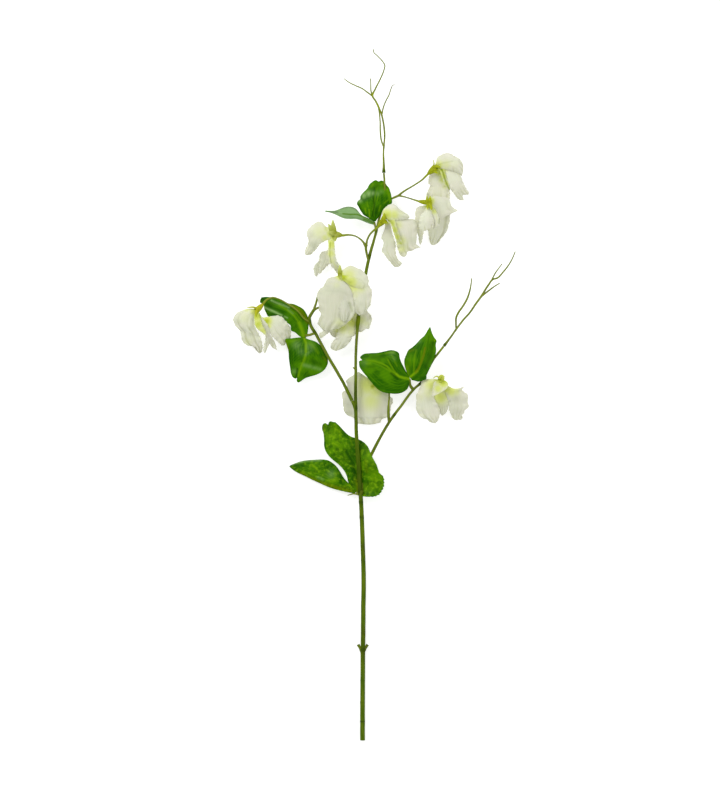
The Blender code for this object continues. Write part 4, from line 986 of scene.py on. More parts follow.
leaflet(
    "leaflet_base_right",
    edges=[
        [(-16.6, -98.1), (-20, -95.1), (-24, -90.5), (-26.2, -85.1), (-27, -81.5), (-28.6, -77.5),
         (-32, -72.5), (-36, -68.5), (-41, -64.5), (-45.5, -60.1), (-48.5, -55.5), (-49.9, -50.5),
         (-50, -44.5), (-50.5, -38.5), (-52, -32.5), (-51.6, -29.5)],
        [(-15, -100.3), (-9, -101), (-4, -101.3), (2, -100.5), (5.5, -98.5), (7.4, -95.9), (9.6, -91.5),
         (10, -85.5), (9.2, -81.1), (5.2, -77.1), (4, -73.5), (2.5, -69), (0, -64.5), (-2.5, -59.9),
         (-4.5, -54.5), (-6.5, -50.5), (-10, -47), (-14, -44.5), (-19, -42.5), (-23, -41.1), (-27, -38.5),
         (-31, -34.5), (-35, -30), (-38.6, -26.7)],
    ],
    midrib=[(-15.6, -98.9), (-14.6, -88.5), (-17, -78.5), (-21.4, -69.1), (-27, -60.1), (-33, -50.5),
            (-38.4, -41.5), (-43, -33.5), (-45.4, -28.3)],
    rise=[7.2, 7.6, 8, 7.8, 6.6, 5, 3.2],
    droop=[[0.2, 1.6, 2.2, 2, 1.6, 1.2, 0.6], [-3, -8, -8.6, -5, -1, 1, 0.6]],
    tip=[0, 1.2, 1.4, -0.6, 1.6, 2, 0.8, 0], skin=leaf_face, seed=18, flecks=0.55, saw=(34, 2.6, 0.1, 0.42),
    limes=[
        ([(-42, -34.5), (-38, -46.5), (-30, -60.5)], 9, 0.3),
        ([(-6, -56.5), (-1, -70.5), (2, -88.5), (-8, -94.5)], 7, 0.32),
        ([(-39, -33.1), (-34.4, -37.1), (-34, -41.5)], 1.8, 0.55), ([(-41, -47.5), (-36, -50.1)], 1, 0.85),
        ([(-39.4, -55.5), (-38, -57.9)], 1.2, 0.5), ([(-34, -59.5), (-31, -59.1)], 0.8, 0.6),
        ([(-36.4, -62.1), (-33.6, -62.9)], 0.8, 0.8), ([(-29.4, -64.5), (-26.4, -65.5)], 1, 0.5),
        ([(-7.8, -54.5), (-6.8, -60.9)], 0.8, 0.7), ([(-4.6, -72.1), (-3, -72.5)], 1.1, 0.85),
        ([(-2, -83.1), (2.4, -83.9)], 2, 0.65), ([(-10.6, -66.5), (-12, -82.5)], 0.9, 0.55),
        ([(5, -79.1), (8, -81.5)], 2.4, 0.35), ([(-24, -39.1), (-21.6, -51.5)], 1.4, 0.4),
        ([(-1, -92.5), (7, -90.5)], 2.4, 0.3), ([(-22, -88.5), (-20.4, -90.9)], 1.2, 0.4),
        ([(-48, -44.5), (-46.6, -36.5)], 1.4, 0.3),
    ],
    darks=[
        # This first dark line is a painted shadow along the blade's fold.
        ([(-28, -55.1), (-22, -66.5), (-19.4, -79.5), (-21.4, -89.5)], 2.6, 0.9),
        ([(-14, -47.5), (-10, -51.5), (-8, -57.5)], 2, 0.45),
        ([(-22, -44.5), (-17, -56.5), (-17, -74.5)], 2, 0.45), ([(-37, -52.5), (-31, -62.5)], 3, 0.35),
        ([(10, -74.5), (16, -84.5), (14, -96.5)], 2.6, 0.3), ([(-33, -32.5), (-28, -40.5)], 2, 0.3),
        ([(-36, -54.1), (-29, -57.5)], 1.2, 0.5), ([(-31, -69.5), (-25, -75.1)], 1.8, 0.5),
        ([(-2, -66.5), (2, -74.5)], 1.2, 0.4), ([(-12, -49.5), (-9, -53.5)], 1.6, 0.35),
    ],
    rusts=[
        ([(-17, -84.5), (-15.4, -96.5)], 2, 0.7), ([(-8.4, -64.5), (-7, -76.5)], 1.6, 0.35),
        ([(-50.4, -30.5), (-50.2, -40.5)], 0.9, 0.5),
    ],
)


# The calyxes: the green cups in which the flowers stand, each drawn out into five pointed lobes. The tissue
# is thin and ribbed, yellow-green where the light comes through it, and the cup grows from its stalk.
def thin_tissue(shader, roughness, gloss, scatter_colour, scatter):
    """Sets the shader for tissue that lets some light through, scattered over some millimetres."""
    set_plain(shader, {
        "Roughness": roughness, "Specular IOR Level": gloss, "Subsurface Weight": 0.25,
        "Subsurface Radius": scatter_colour, "Subsurface Scale": scatter * MM,
    })


def calyx_material(name, cup, lobe):
    """Ribbed green tissue that goes from the cup's colour to the lobes' colour, with olive fibres."""
    olive_fibre = (0.24, 0.29, 0.015)
    made, tree, shader = new_material(name)
    fibre = fibres(tree, fineness=30, stretch=2)
    green = blend_colours(tree, attribute(tree, "lobe"), cup, lobe)
    green = blend_colours(tree, between(tree, fibre, 0.4, 0.7, high_out=0.6), green, olive_fibre)
    wire(tree, green, shader.inputs["Base Color"])
    thin_tissue(shader, roughness=0.5, gloss=0.08, scatter_colour=(1.0, 1.0, 0.4), scatter=1.0)
    relief(tree, shader, fibre, 0.2 * MM)
    return made


def calyx(flower, base, mouth, radius, skin, sepals):
    """A cup from its base to its mouth with five short teeth, and the sepals that lie in sight around it.

    The radius is the cup's at its mouth. A sepal is (its points from foot to tip, its half width, how far
    its edges hang below its middle).
    """
    lobes, around, rows = 5, 70, 18
    sepal_rows, sepal_columns = 24, 12
    foot_radius, tooth_length, rib_height = 0.8, 1.4, 0.12
    lip, foot_sink, flare = 0.2, 0.2, 0.3
    thickness = 0.35
    weld_reach = 0.01
    base, mouth = np.array(base, float), np.array(mouth, float)
    depth = np.linalg.norm(mouth - base)
    axis = (mouth - base) / depth
    left = np.cross((0, 0, 1), axis)
    left = left / np.linalg.norm(left)
    above = np.cross(axis, left)
    turn = np.linspace(0, math.tau, around + 1)[None, :]
    row = np.linspace(0, 1, rows + 1)[:, None]
    off_lobe = np.abs((turn / math.tau * lobes + 0.5) % 1 - 0.5) * 2
    along = row * (depth + tooth_length * (1 - off_lobe) + lip)
    share = np.clip(along / depth, 0, 1)
    belly = foot_radius + (radius - foot_radius) * np.sin(share * math.pi / 2) ** 0.75
    ribs = rib_height * np.cos(turn * lobes * 2) * np.sin(share * math.pi)
    out = belly + ribs + flare * np.clip(along - depth, 0, None)
    round_axis = np.cos(turn)[..., None] * above + np.sin(turn)[..., None] * left
    places = base + along[..., None] * axis + out[..., None] * round_axis
    places[:, -1] = places[:, 0]
    foot = np.repeat((base - foot_sink * axis)[None, None], around + 1, axis=1)
    sheets = [(np.concatenate((foot, places)), {"lobe": 0.5 * np.linspace(0, 1, rows + 2)[:, None]})]
    for points, half_width, hang in sepals:
        v = np.linspace(0, 1, sepal_rows + 1)
        u = np.linspace(-1, 1, sepal_columns + 1)[None, :]
        spine = smooth_run(points, v)
        ahead = np.gradient(spine[:, :2], axis=0)
        across = np.stack((-ahead[:, 1], ahead[:, 0]), axis=1)
        across = across / np.linalg.norm(across, axis=1)[:, None]
        # A sepal is widest a little before its middle, then drawn out to a narrow point.
        half = half_width * (np.sin(math.pi * (0.12 + 0.88 * v)) ** 0.8 * (1 - 0.35 * v) + 0.06)[:, None]
        x, y = (spine[:, None, way] + across[:, None, way] * half * u for way in (0, 1))
        sheet = np.dstack((x, y, spine[:, None, 2] - hang * u**2))
        sheets.append((sheet, {"lobe": v[:, None] ** 1.3}))
    piece = sheet_object(flower + "_cup", sheets, thickness)
    weld = piece.modifiers.new("weld", "WELD")
    weld.merge_threshold = weld_reach * MM
    piece.modifiers.move(1, 0)
    piece.data.materials.append(skin)
    settle(piece, flower + "_calyx")


calyx_green = calyx_material("calyx_green", cup=(0.24, 0.27, 0.003), lobe=(0.46, 0.52, 0.010))
calyx_brown = calyx_material("calyx_brown", cup=(0.36, 0.33, 0.008), lobe=(0.50, 0.56, 0.02))
calyx_pale = calyx_material("calyx_pale", cup=(0.24, 0.27, 0.001), lobe=(0.58, 0.64, 0.22))
calyx_bud = calyx_material("calyx_bud", cup=(0.46, 0.52, 0.04), lobe=(0.58, 0.64, 0.16))

calyx(
    "flower_1",
    base=(53.6, 220.9, 21.5), mouth=(60.8, 227.2, 22.6), radius=3.3, skin=calyx_green,
    sepals=[
        ([(59.6, 228, 25), (59.8, 232, 25.4), (59, 235.6, 25.6)], 0.6, 0.1),
        ([(58, 226.4, 25), (62.4, 228.6, 27.6), (66.4, 227.4, 28.4)], 1.8, 0.8),
        ([(57.6, 223.6, 24), (60.4, 223.4, 25.6), (63.6, 221.6, 26.4)], 1.5, 0.6),
    ],
)
calyx(
    "flower_2",
    base=(44.6, 193.8, 25.1), mouth=(53.2, 192.4, 26.4), radius=2.4, skin=calyx_green,
    sepals=[
        ([(53.4, 190.6, 28.6), (53, 195, 29.6), (52.6, 199.6, 29)], 1.5, 0.3),
        ([(55.4, 190.6, 29), (55.6, 195, 30.4), (56, 199, 29.6)], 1.9, 0.4),
        ([(53.6, 193.4, 29), (53.4, 189, 31), (53.4, 185.4, 31.6)], 1.4, 0.3),
        ([(55.4, 194.4, 29), (56.4, 189, 31.6), (57.4, 184.6, 32.6)], 2.0, 0.4),
    ],
)
calyx(
    "flower_3",
    base=(4.8, 168.8, 28.1), mouth=(10, 175.2, 28.8), radius=3.0, skin=calyx_green,
    sepals=[
        ([(7.8, 171.6, 31.4), (9.6, 177, 33.4), (10.4, 181.6, 33.8)], 2.6, 0.8),
        ([(7.6, 171.4, 31.4), (10.2, 172.6, 32.4), (12.6, 171.8, 32)], 1.8, 0.6),
    ],
)
calyx(
    "flower_4",
    base=(-31.6, 159.9, 19.4), mouth=(-39, 161, 20), radius=3.2, skin=calyx_pale,
    sepals=[
        ([(-39.6, 161, 22.6), (-43, 166.6, 23), (-45.6, 171.4, 22.4)], 2.4, 0.8),
        ([(-39, 161, 23), (-40.6, 168, 23.6), (-41.2, 175.4, 23)], 2.7, 0.8),
        ([(-38, 160, 22.4), (-38.8, 156.6, 23.2), (-39, 153.8, 23)], 1.9, 0.5),
        ([(-37.4, 161.4, 22.8), (-40.6, 162, 24), (-45, 162.4, 25)], 3.2, 0.8),
    ],
)
calyx(
    "flower_5",
    base=(-34.9, 124.4, 26), mouth=(-33.8, 120.6, 30.4), radius=2.2, skin=calyx_pale,
    sepals=[
        ([(-34, 118, 33.2), (-34, 124, 34), (-34, 130, 32.6)], 2.4, 0.3),
        ([(-34.2, 122, 33.8), (-33.6, 118.4, 34.6), (-32.4, 114.6, 35.4)], 2.1, 0.3),
    ],
)
calyx(
    "flower_6",
    base=(-34.4, 87.8, 10.4), mouth=(-31.8, 81.8, 10.6), radius=3.6, skin=calyx_green,
    sepals=[([(-33.6, 84, 13), (-32, 80.6, 15), (-30.6, 78, 16)], 1.5, 0.6)],
)
calyx(
    "flower_7",
    base=(-110.8, 91.4, 20.5), mouth=(-116.6, 85.4, 21), radius=2.8, skin=calyx_brown,
    sepals=[
        ([(-116, 87.2, 23), (-121, 88.2, 24), (-127, 87.9, 23.6)], 0.8, 0.2),
        ([(-115.4, 86.6, 23.4), (-117.4, 83.6, 25.4), (-118, 79, 26.6)], 1.7, 0.7),
    ],
)
calyx(
    "flower_8",
    base=(4.4, 15.1, 10.9), mouth=(0.6, 12, 9.2), radius=2.6, skin=calyx_green,
    sepals=[],
)
calyx(
    "flower_9",
    base=(65.2, 11.6, 17.6), mouth=(66.6, 15.2, 21.6), radius=2.8, skin=calyx_bud,
    sepals=[
        ([(66, 16.6, 24.6), (62.6, 19.2, 25), (58.6, 17.2, 24.4)], 0.7, 0.2),
        ([(64.6, 16.4, 24.8), (67.6, 19.4, 25.6), (70.4, 18.6, 25.4)], 1.8, 0.6),
        ([(67.6, 15, 24.8), (69, 17.4, 26.4), (69.6, 19.6, 26.4)], 1.6, 0.5),
    ],
)


# The petals: each flower's broad standard, its two wings and its folded keel, as thin as silk and softly
# veined. They are milky white, flushed yellow-green at the foot and along the keel, with pleats that fan out
# from the narrow claw and edges that are ruffled and slightly torn. Each stands in the cup of its calyx.
def petal_material():
    """Milky white silk with fine fibres, flushed yellow-green, creased green and greyed by painted shade."""
    cool_milk = (0.665, 0.68, 0.545)
    warm_milk = (0.672, 0.662, 0.55)
    fibre_shade = (0.57, 0.59, 0.44)
    fold_shade = (0.52, 0.53, 0.36)
    painted_shade_grey = (0.40, 0.425, 0.29)
    light_flush = (0.58, 0.64, 0.18)
    full_flush = (0.40, 0.48, 0.008)
    crease_green = (0.20, 0.26, 0.010)
    made, tree, shader = new_material("petal_silk")
    fibre = fibres(tree, fineness=34, stretch=2.5)
    cloud = between(tree, speckle(tree, scale=75, detail=1), 0.38, 0.62)
    milk = blend_colours(tree, cloud, cool_milk, warm_milk)
    milk = blend_colours(tree, between(tree, fibre, 0.35, 0.7, high_out=0.45), milk, fibre_shade)
    # Painted shade in the hollows of the folds and along the rims, where the light falls off.
    hollow = between(tree, attribute(tree, "hollow"), 0.0, 1.0, high_out=0.65)
    milk = blend_colours(tree, hollow, milk, fold_shade)
    # Painted shade: the whole petal's tone, its grey spots and its grey fold lines stand for shade from
    # other parts.
    milk = blend_colours(tree, attribute(tree, "painted_shade"), milk, painted_shade_grey)
    flush = attribute(tree, "flush")
    tint = blend_colours(tree, between(tree, flush, 0.0, 0.6), milk, light_flush)
    tint = blend_colours(tree, between(tree, flush, 0.5, 1.0), tint, full_flush)
    tint = blend_colours(tree, attribute(tree, "crease"), tint, crease_green)
    wire(tree, tint, shader.inputs["Base Color"])
    thin_tissue(shader, roughness=0.65, gloss=0.12, scatter_colour=(1.0, 1.0, 0.8), scatter=1.2)
    relief(tree, shader, fibre, 0.2 * MM)
    return made


def creased_waves(generator, at, counts, strength):
    """Folds over at: ridges that are rounded on top and tighter in the hollow, of the given counts."""
    softness, mean_height, falloff = 0.12, 0.73, 0.9
    total = np.zeros_like(at)
    for order, count in enumerate(counts):
        wave = np.sqrt(np.sin(math.pi * (count * at + generator.random())) ** 2 + softness)
        total = total + (wave - mean_height) * generator.uniform(0.7, 1) / (1 + falloff * order)
    return strength * total


def petal(
    flower, kind, edges, rise, cup, tip, seed, glows=(), shade_spots=(), keel_line=0.0, pleats=0.5, ruffle=1.9,
    folds=(), tone=0.0, creases=(), shaded_fold_lines=(),
):
    """A petal between its two edges, seen as a map with heights over it, from its claw to its tip.

    The rise is the middle's height at even steps, the cup how far the edges hang below it, for both sides or
    for each, and the tip how far the end bulges past the last corners. A fold is (side at the claw, side at
    the tip, height, width); glows are spots of yellow-green, and the grey spots are painted shade (x, y,
    radius, strength). Creases are green lines and the grey fold lines painted shade (points, width,
    strength), both pressed into the petal. The keel line is how green the middle is from claw to tip, and
    the tone how much painted shade greys the whole petal.
    """
    rows, columns = 60, 46
    claw_share, opening_share = 0.1, 0.5
    nick_depth = 0.7
    nick_waves, edge_waves, end_waves = (9, 14, 23), (3.1, 5.2, 7.7), (2.3, 3.9)
    pleat_counts = (1.7, 3.1, 5.3)
    full_width = 22
    bend = 0.06
    crease_depth, fold_line_depth = 0.6, 0.8
    least_height, least_width, least_step = 0.35, 1e-6, 0.12
    foot_flush, foot_radius = 0.9, 4.5
    keel_line_width = 0.35
    thickness = 0.32
    v = np.linspace(0, 1, rows + 1)
    u = np.linspace(-1, 1, columns + 1)
    generator = np.random.default_rng(seed)
    first, second = (smooth_run(edge, v) for edge in edges)
    across = (u + 1) / 2
    share = across[None, :, None]
    flat = first[:, None] * (1 - share) + second[:, None] * share
    flat = flat + tip_bulge((first + second) / 2, 5, tip, across, along=v)
    apart = second - first
    width = np.maximum(np.linalg.norm(apart, axis=1), least_width)
    apart = apart / width[:, None]
    for side in (-1, 1):
        nicks = gentle_waves(generator, v, nick_waves, nick_depth) * np.clip(v * 4 - 0.6, 0, 1)
        weight = np.clip(side * u, 0, 1) ** 6
        flat = flat + side * apart[:, None] * (nicks[:, None] * weight[None])[..., None]
    open_share = np.clip((v - claw_share) / opening_share, 0, 1)[:, None]
    narrow = np.clip(width / full_width, 0.1, 1)[:, None]
    hang = [along_steps(side, v)[:, None] for side in (cup if isinstance(cup[0], list) else (cup, cup))]
    height = along_steps(rise, v)[:, None]
    v, u = v[:, None], u[None]
    height = height - np.where(u < 0, *hang) * np.abs(u) ** 2
    bent = u / 2 + bend * np.sin(math.tau * (0.9 * v + generator.random()))
    height = height + open_share * narrow * creased_waves(generator, bent, pleat_counts, pleats)
    for side in (-1, 1):
        edge_wave = gentle_waves(generator, v, edge_waves, ruffle)
        height = height + edge_wave * np.clip(side * u, 0, 1) ** 3 * open_share
    end_wave = gentle_waves(generator, u / 2, end_waves, ruffle)
    height = height + end_wave * narrow * v**7
    for at_claw, at_tip, lift, width_share in folds:
        line = at_claw + (at_tip - at_claw) * v
        height = height + lift * np.exp(-(((u - line) / width_share) ** 2)) * open_share
    places = np.dstack((flat, height))
    crease = strokes(places, creases)
    # The grey fold lines are dents in the petal with painted shade along them.
    shaded_fold = strokes(places, shaded_fold_lines)
    height = np.maximum(height - crease_depth * crease - fold_line_depth * shaded_fold, least_height)
    places[..., 2] = height
    step = np.maximum(width / columns, least_step)[:, None]
    # Painted shade: the hollows between folds and the rims of the petal are greyed.
    bowed = np.zeros_like(height)
    bowed[:, 3:-3] = (height[:, 6:] + height[:, :-6] - 2 * height[:, 3:-3]) / (9 * step**2)
    rim = 0.5 * np.abs(u) ** 10 + 0.5 * v**14
    away = np.linalg.norm(places - places[0].mean(axis=0), axis=2)
    flush = np.maximum(foot_flush * np.exp(-((away / foot_radius) ** 2)), spots(places, glows))
    flush = np.maximum(flush, keel_line * np.exp(-((u / keel_line_width) ** 2)) * (1 - 0.6 * v))
    piece = sheet_object(f"{flower}_{kind}_petal", [(places, {
        "flush": flush,
        "crease": crease,
        "hollow": np.maximum(np.clip(3 * bowed, 0, 1) * open_share, rim * open_share),
        "painted_shade": np.maximum(np.maximum(tone, spots(places, shade_spots)), shaded_fold),
    })], thickness)
    piece.data.materials.append(petal_silk)
    settle(piece, f"{flower}_{kind}")


petal_silk = petal_material()

# Flower 1 hangs at the top right: a hood arching over, two spreading wings and a thin keel between them.
petal(
    "flower_1", "keel",
    edges=[
        [(62.8, 227.7), (65.8, 223.7), (67.8, 217.9), (70.4, 211.5), (74.8, 205.5)],
        [(63.8, 228.5), (69.2, 226.7), (71.6, 220.1), (73.8, 213.5), (76.2, 206.5)],
    ],
    rise=[24, 25, 23.6, 21.4, 19.6], cup=[0.3, 0.5, 0.6, 0.5, 0.4], tip=[0, 0.4, 0], seed=102, pleats=0.1,
    ruffle=0.2, keel_line=0.8, glows=[(67, 226, 4.4, 0.8), (70, 220, 4.4, 0.7), (72.6, 212, 4, 0.5)],
    creases=[([(66, 227.9), (68.6, 223.5), (70.2, 217.5), (72.4, 211.5), (75.4, 205.5)], 1.1, 0.85)],
)
petal(
    "flower_1", "right_wing",
    edges=[
        [(63, 226.7), (67.6, 223.7), (70.6, 218.5), (73, 212.5), (76.4, 206.5), (80, 201.5), (83, 197.5),
         (85.6, 195.5)],
        [(64, 227.9), (73, 229), (81, 227), (86.6, 219.5), (88.6, 214.1), (91.5, 208.1), (94.6, 203.3)],
    ],
    rise=[22.6, 23, 21.5, 18.5, 13], cup=[0.3, 1.5, 2, 2.2, 1.5],
    tip=[0, 1.4, 2.6, -0.6, -1.6, -0.4, 0.6, 1.6, 0], seed=103, pleats=0.35, glows=[(70, 226, 4, 0.5)],
    shade_spots=[(85, 203, 5, 0.25)],
)
petal(
    "flower_1", "left_wing",
    edges=[
        [(60.8, 226.1), (57.8, 222.5), (55, 219.5), (54.4, 215.5), (54.6, 211.5), (56, 210.5),
         (54.5, 206.5), (52.6, 201.5), (52.8, 196)],
        [(62.4, 226.7), (67.5, 224.5), (69.6, 218), (71.8, 212.1), (74.6, 207.5), (75.8, 204.1),
         (75.6, 196.5)],
    ],
    rise=[20.6, 17, 14.5, 12, 8.5], cup=[0.3, 1, 1.2, 1.5, 1.5], tip=[0, 3, 4, 3, 0], seed=104, pleats=0.3,
    glows=[(66, 224, 4.6, 0.75), (68.6, 216, 4, 0.5), (62, 224.6, 3.6, 0.5), (71, 209, 3.6, 0.3)],
)
petal(
    "flower_1", "standard",
    edges=[
        [(60.6, 229.5), (62, 233), (63, 237.5), (66, 239.5), (70, 241.5), (74, 242), (77, 241), (81, 238.5),
         (85, 236.5), (87.6, 233), (89, 229.5)],
        [(62.2, 227.1), (67, 226.3), (72, 225.5), (77, 224.5), (82, 223), (85.5, 221), (87.5, 219)],
    ],
    rise=[23, 27.5, 30, 29, 24.5], cup=([0.4, 2.5, 4, 4, 2], [0.4, 3, 5.5, 6, 3]), tip=[0, 0.8, 1, 0.6, 0],
    seed=101, glows=[(65, 230, 5, 0.5), (72, 230, 6, 0.3), (80, 230, 6, 0.15)],
    shade_spots=[(69, 236, 6, 0.2), (88, 232, 4, 0.2)],
    creases=[([(63, 229.1), (69, 231.9), (78, 233.5)], 0.9, 0.22)],
)

# Flower 2 hangs below it: an arched wing in front of a green keel, a long standard behind and a slim wing.
petal(
    "flower_2", "standard",
    edges=[
        [(56, 196), (57.6, 198.1), (66, 198.5), (75.4, 196.1), (76.4, 191.5), (78, 189.1), (80.5, 186.9),
         (83.6, 185.1), (80, 183.3), (77, 181.9), (76, 179.1), (75.8, 175), (74.4, 169.5), (72.8, 164.5),
         (70, 160.5), (67, 156.9), (65.2, 154.1)],
        [(56, 191.9), (57, 187.5), (56, 181.5), (54, 174.5), (53.6, 168.5), (54.4, 163.1), (55, 158.5),
         (55.8, 154.7)],
    ],
    rise=[24, 20.5, 16.5, 12, 7, 2.4], cup=[0.3, 1.5, 1.8, 1.5, 1, 0.3], tip=[0, 2.4, 3.8, 3.8, 2.6, 0],
    seed=111, folds=[(-0.7, -0.6, -1.4, 0.18)], shade_spots=[(73, 177, 3.5, 0.45), (72, 171, 3, 0.3)],
)
petal(
    "flower_2", "left_wing",
    edges=[
        [(53.6, 190.1), (49, 189.7), (45, 188.9), (42.4, 187.1), (41.4, 183.5), (41.2, 177.5),
         (41.6, 170.5), (42.6, 164.5), (44.4, 159.5), (45, 154.5), (45.6, 151.5)],
        [(54.4, 188.9), (51.5, 183.5), (50.5, 177.5), (50.5, 170.5), (49.8, 164.5), (48.8, 159.5),
         (48, 154.5), (46.8, 151.1)],
    ],
    rise=[23.5, 18.5, 17.8, 17.5, 16, 13.5, 12], cup=[0.3, 0.8, 1, 1, 0.8, 0.5], tip=[0, 0.4, 0], seed=112,
    pleats=0.3, shade_spots=[(45, 172, 4, 0.3), (46.4, 158, 6, 0.3)],
)
petal(
    "flower_2", "keel",
    edges=[
        [(56.4, 190.5), (60.5, 186.5), (63.5, 181.5), (65.6, 176.5), (65.4, 171.5), (62.5, 167.9),
         (59.8, 166.7)],
        [(55.6, 189.1), (57.5, 184), (59.2, 179), (60, 175), (59.8, 171), (59.2, 168.5), (58.8, 166.9)],
    ],
    rise=[26.5, 28.4, 28, 27, 25.6, 24], cup=([0.3, 1.6, 2, 1.6, 0.8], [0.3, 0.6, 0.8, 0.6, 0.4]),
    tip=[0, 0.3, 0], seed=113, pleats=0.2, ruffle=0.4, keel_line=0.35, glows=[(60, 184, 4, 0.5)],
    creases=[([(60.6, 186.9), (64, 181.9), (65.4, 176.9), (64.6, 171.9)], 0.7, 0.5)],
)
petal(
    "flower_2", "right_wing",
    edges=[
        [(54, 190.1), (50, 184.1), (46.4, 179.5), (44.8, 173.5), (45, 167.5), (46.2, 163.9)],
        [(55.8, 189.9), (57, 184), (58.6, 178.5), (59.6, 173), (59.4, 167.7)],
    ],
    rise=[26.6, 30.5, 32.5, 30], cup=[0.3, 2.6, 4, 3.2], tip=[0, 0.8, 0.9, 0.3, 0], seed=114, pleats=0.2,
)

# Flower 3 hangs in the middle of the top: a small hood, two long wings and a green keel line between them.
petal(
    "flower_3", "left_wing",
    edges=[
        [(11, 174.1), (10.6, 167), (8.6, 161.5), (7.2, 157.5), (9.1, 154.5), (9.3, 150), (7.9, 146.5),
         (8.4, 142.9), (10.4, 141.1), (12, 138.5), (15, 134.9), (17.8, 131.5), (19.8, 129.1)],
        [(12.4, 174.5), (16, 171.5), (17.6, 164.5), (19.8, 157.5), (21.6, 151.5), (21.4, 145.5),
         (22.2, 139.9), (24.8, 135.1), (27.8, 132.9)],
    ],
    rise=[26.4, 22, 20.5, 19.4, 16, 13, 10], cup=[0.3, 1, 1, 1.2, 1, 0.8], tip=[0.4, 2, 2.4, 1.6, 0.6],
    seed=122, shade_spots=[(12, 154, 5, 0.25), (20, 134, 5, 0.4)],
)
petal(
    "flower_3", "right_wing",
    edges=[
        [(13.6, 175.9), (22, 178.9), (30, 177.9), (35, 175.9), (40, 175.9), (42.2, 172.5), (42.8, 165.5),
         (42.6, 157.5), (42.4, 150.9), (46.6, 148.1)],
        [(13.6, 174.5), (17.6, 169.5), (20, 162.5), (22, 155.5), (22.6, 149.5), (24.2, 144.5),
         (26.4, 139.7)],
    ],
    rise=[28, 28.6, 27, 24, 20, 15.5], cup=[0.3, 1.5, 2, 2, 1.5],
    tip=[0, -0.6, -0.9, -0.3, -0.9, -1, 1.4, 2.8, 0.6], seed=123,
    glows=[(27, 154, 6, 0.42), (28, 147, 6, 0.35), (24, 170, 5, 0.35)], shade_spots=[(38, 155, 4, 0.35)],
)
petal(
    "flower_3", "keel",
    edges=[
        [(12.8, 175.5), (15.8, 174.5), (17.6, 168.5), (19.8, 161.5), (22.8, 154.5), (26.2, 150.7)],
        [(13.4, 176.3), (20.2, 175.3), (22.2, 169.5), (24.4, 162.9), (26.6, 156.5), (28.6, 152.5)],
    ],
    rise=[30, 31.4, 31, 28.6, 25], cup=[0.3, 0.8, 1, 1, 0.8], tip=[0, 0.4, 0], seed=124, pleats=0.1,
    ruffle=0.3, keel_line=0.7,
    glows=[(17.5, 172, 4.4, 0.75), (20, 165, 4.4, 0.7), (22.6, 158, 4.4, 0.65), (26, 151, 4.4, 0.5)],
    creases=[
        ([(16, 176.5), (18.6, 171.9), (20.2, 167.5), (22.2, 161.9), (24.2, 156.5), (27, 151.5)], 1.3, 0.35),
    ],
)
petal(
    "flower_3", "standard",
    edges=[
        [(10.2, 177.5), (8.2, 181.5), (9, 184.9), (12, 188.1), (16, 190.6), (19, 191), (22, 189.1),
         (25, 186.1), (28, 183.9), (31, 182.1), (34, 180.1)],
        [(11.6, 175.9), (15, 175.1), (19, 174.9), (23, 174.9), (27, 174.9), (31, 175.7), (34, 176.5)],
    ],
    rise=[29.4, 32.2, 33.2, 31.8, 28.8], cup=([0.3, 2.5, 3.5, 3, 1.5], [0.3, 1.8, 3.2, 3.2, 1.8]),
    tip=[0, 1, 1.4, 1, 0], seed=121, glows=[(13, 180, 6, 0.75), (20, 180, 6, 0.5), (27, 182, 5, 0.2)],
)

# Flower 4 hangs at the left of the top: a curled hood, a strap that turns down, and two slim side petals.
petal(
    "flower_4", "left_wing",
    edges=[
        [(-43.4, 157.5), (-44.6, 149.5), (-48, 141.5), (-54.4, 135.1), (-58.6, 131.5), (-60.5, 127.5),
         (-60, 123.5), (-59, 119.9)],
        [(-42.4, 157.5), (-42.6, 148.5), (-45, 139.5), (-50.4, 133.5), (-53.4, 129.5), (-54.6, 125.5),
         (-55.8, 122.7), (-56.8, 120.3)],
    ],
    rise=[15, 11, 8, 5.6, 3.6, 2], cup=[0.2, 0.4, 0.4], tip=[0, 0.9, 0], seed=131, pleats=0.2, ruffle=0.6,
    tone=0.1,
)
petal(
    "flower_4", "right_wing",
    edges=[
        [(-42.6, 157.5), (-44, 152.5), (-44.8, 147.5), (-47, 145.1), (-50.4, 144.3), (-53.2, 142.7),
         (-54.6, 138.5), (-55, 133.5), (-54.7, 129.5), (-54.8, 125.5), (-55.4, 122.7)],
        [(-41.2, 157.5), (-41, 151.5), (-41.4, 145.5), (-42.4, 139.5), (-43.4, 135.5), (-44.2, 132.1),
         (-46.6, 129.9), (-49.4, 127.1), (-51.6, 124.9), (-53.6, 122.3)],
    ],
    rise=[18.6, 15.5, 13.5, 11.5, 9, 6], cup=[0.2, 0.6, 0.8, 0.8, 0.6, 0.5], tip=[0, 0.4, 0], seed=132,
    glows=[(-45, 142, 2.6, 0.3)], shade_spots=[(-47, 136, 4, 0.2), (-50, 139, 4, 0.15)],
)
petal(
    "flower_4", "keel",
    edges=[
        [(-41.6, 158.9), (-45.8, 155.1), (-45.4, 150.5), (-45.7, 145.5), (-45.8, 141.5), (-45, 136.5),
         (-43.8, 131.5), (-42, 128.1), (-39.4, 125.9), (-37.6, 122.5)],
        [(-39.8, 158.9), (-39.7, 154.5), (-39.5, 149.5), (-39, 143.5), (-38, 136.9), (-36.4, 132.9),
         (-33.8, 129.9), (-32.6, 126.5), (-33.8, 122.9)],
    ],
    rise=[20.5, 22, 22, 20.5, 18.5, 16], cup=[0.3, 1.2, 1.2, 1.2, 1.2, 1], tip=[0, 0.7, 0.3], seed=133,
    pleats=0.3, keel_line=0.5, glows=[(-43, 151, 6, 0.7), (-43, 142, 5, 0.5), (-42, 135, 4, 0.3)],
    shade_spots=[(-37, 128, 4, 0.5), (-40, 131, 4, 0.3)],
    creases=[([(-43.4, 152.5), (-44, 145.5), (-44, 139.5), (-42.6, 132.5)], 0.6, 0.5)],
)
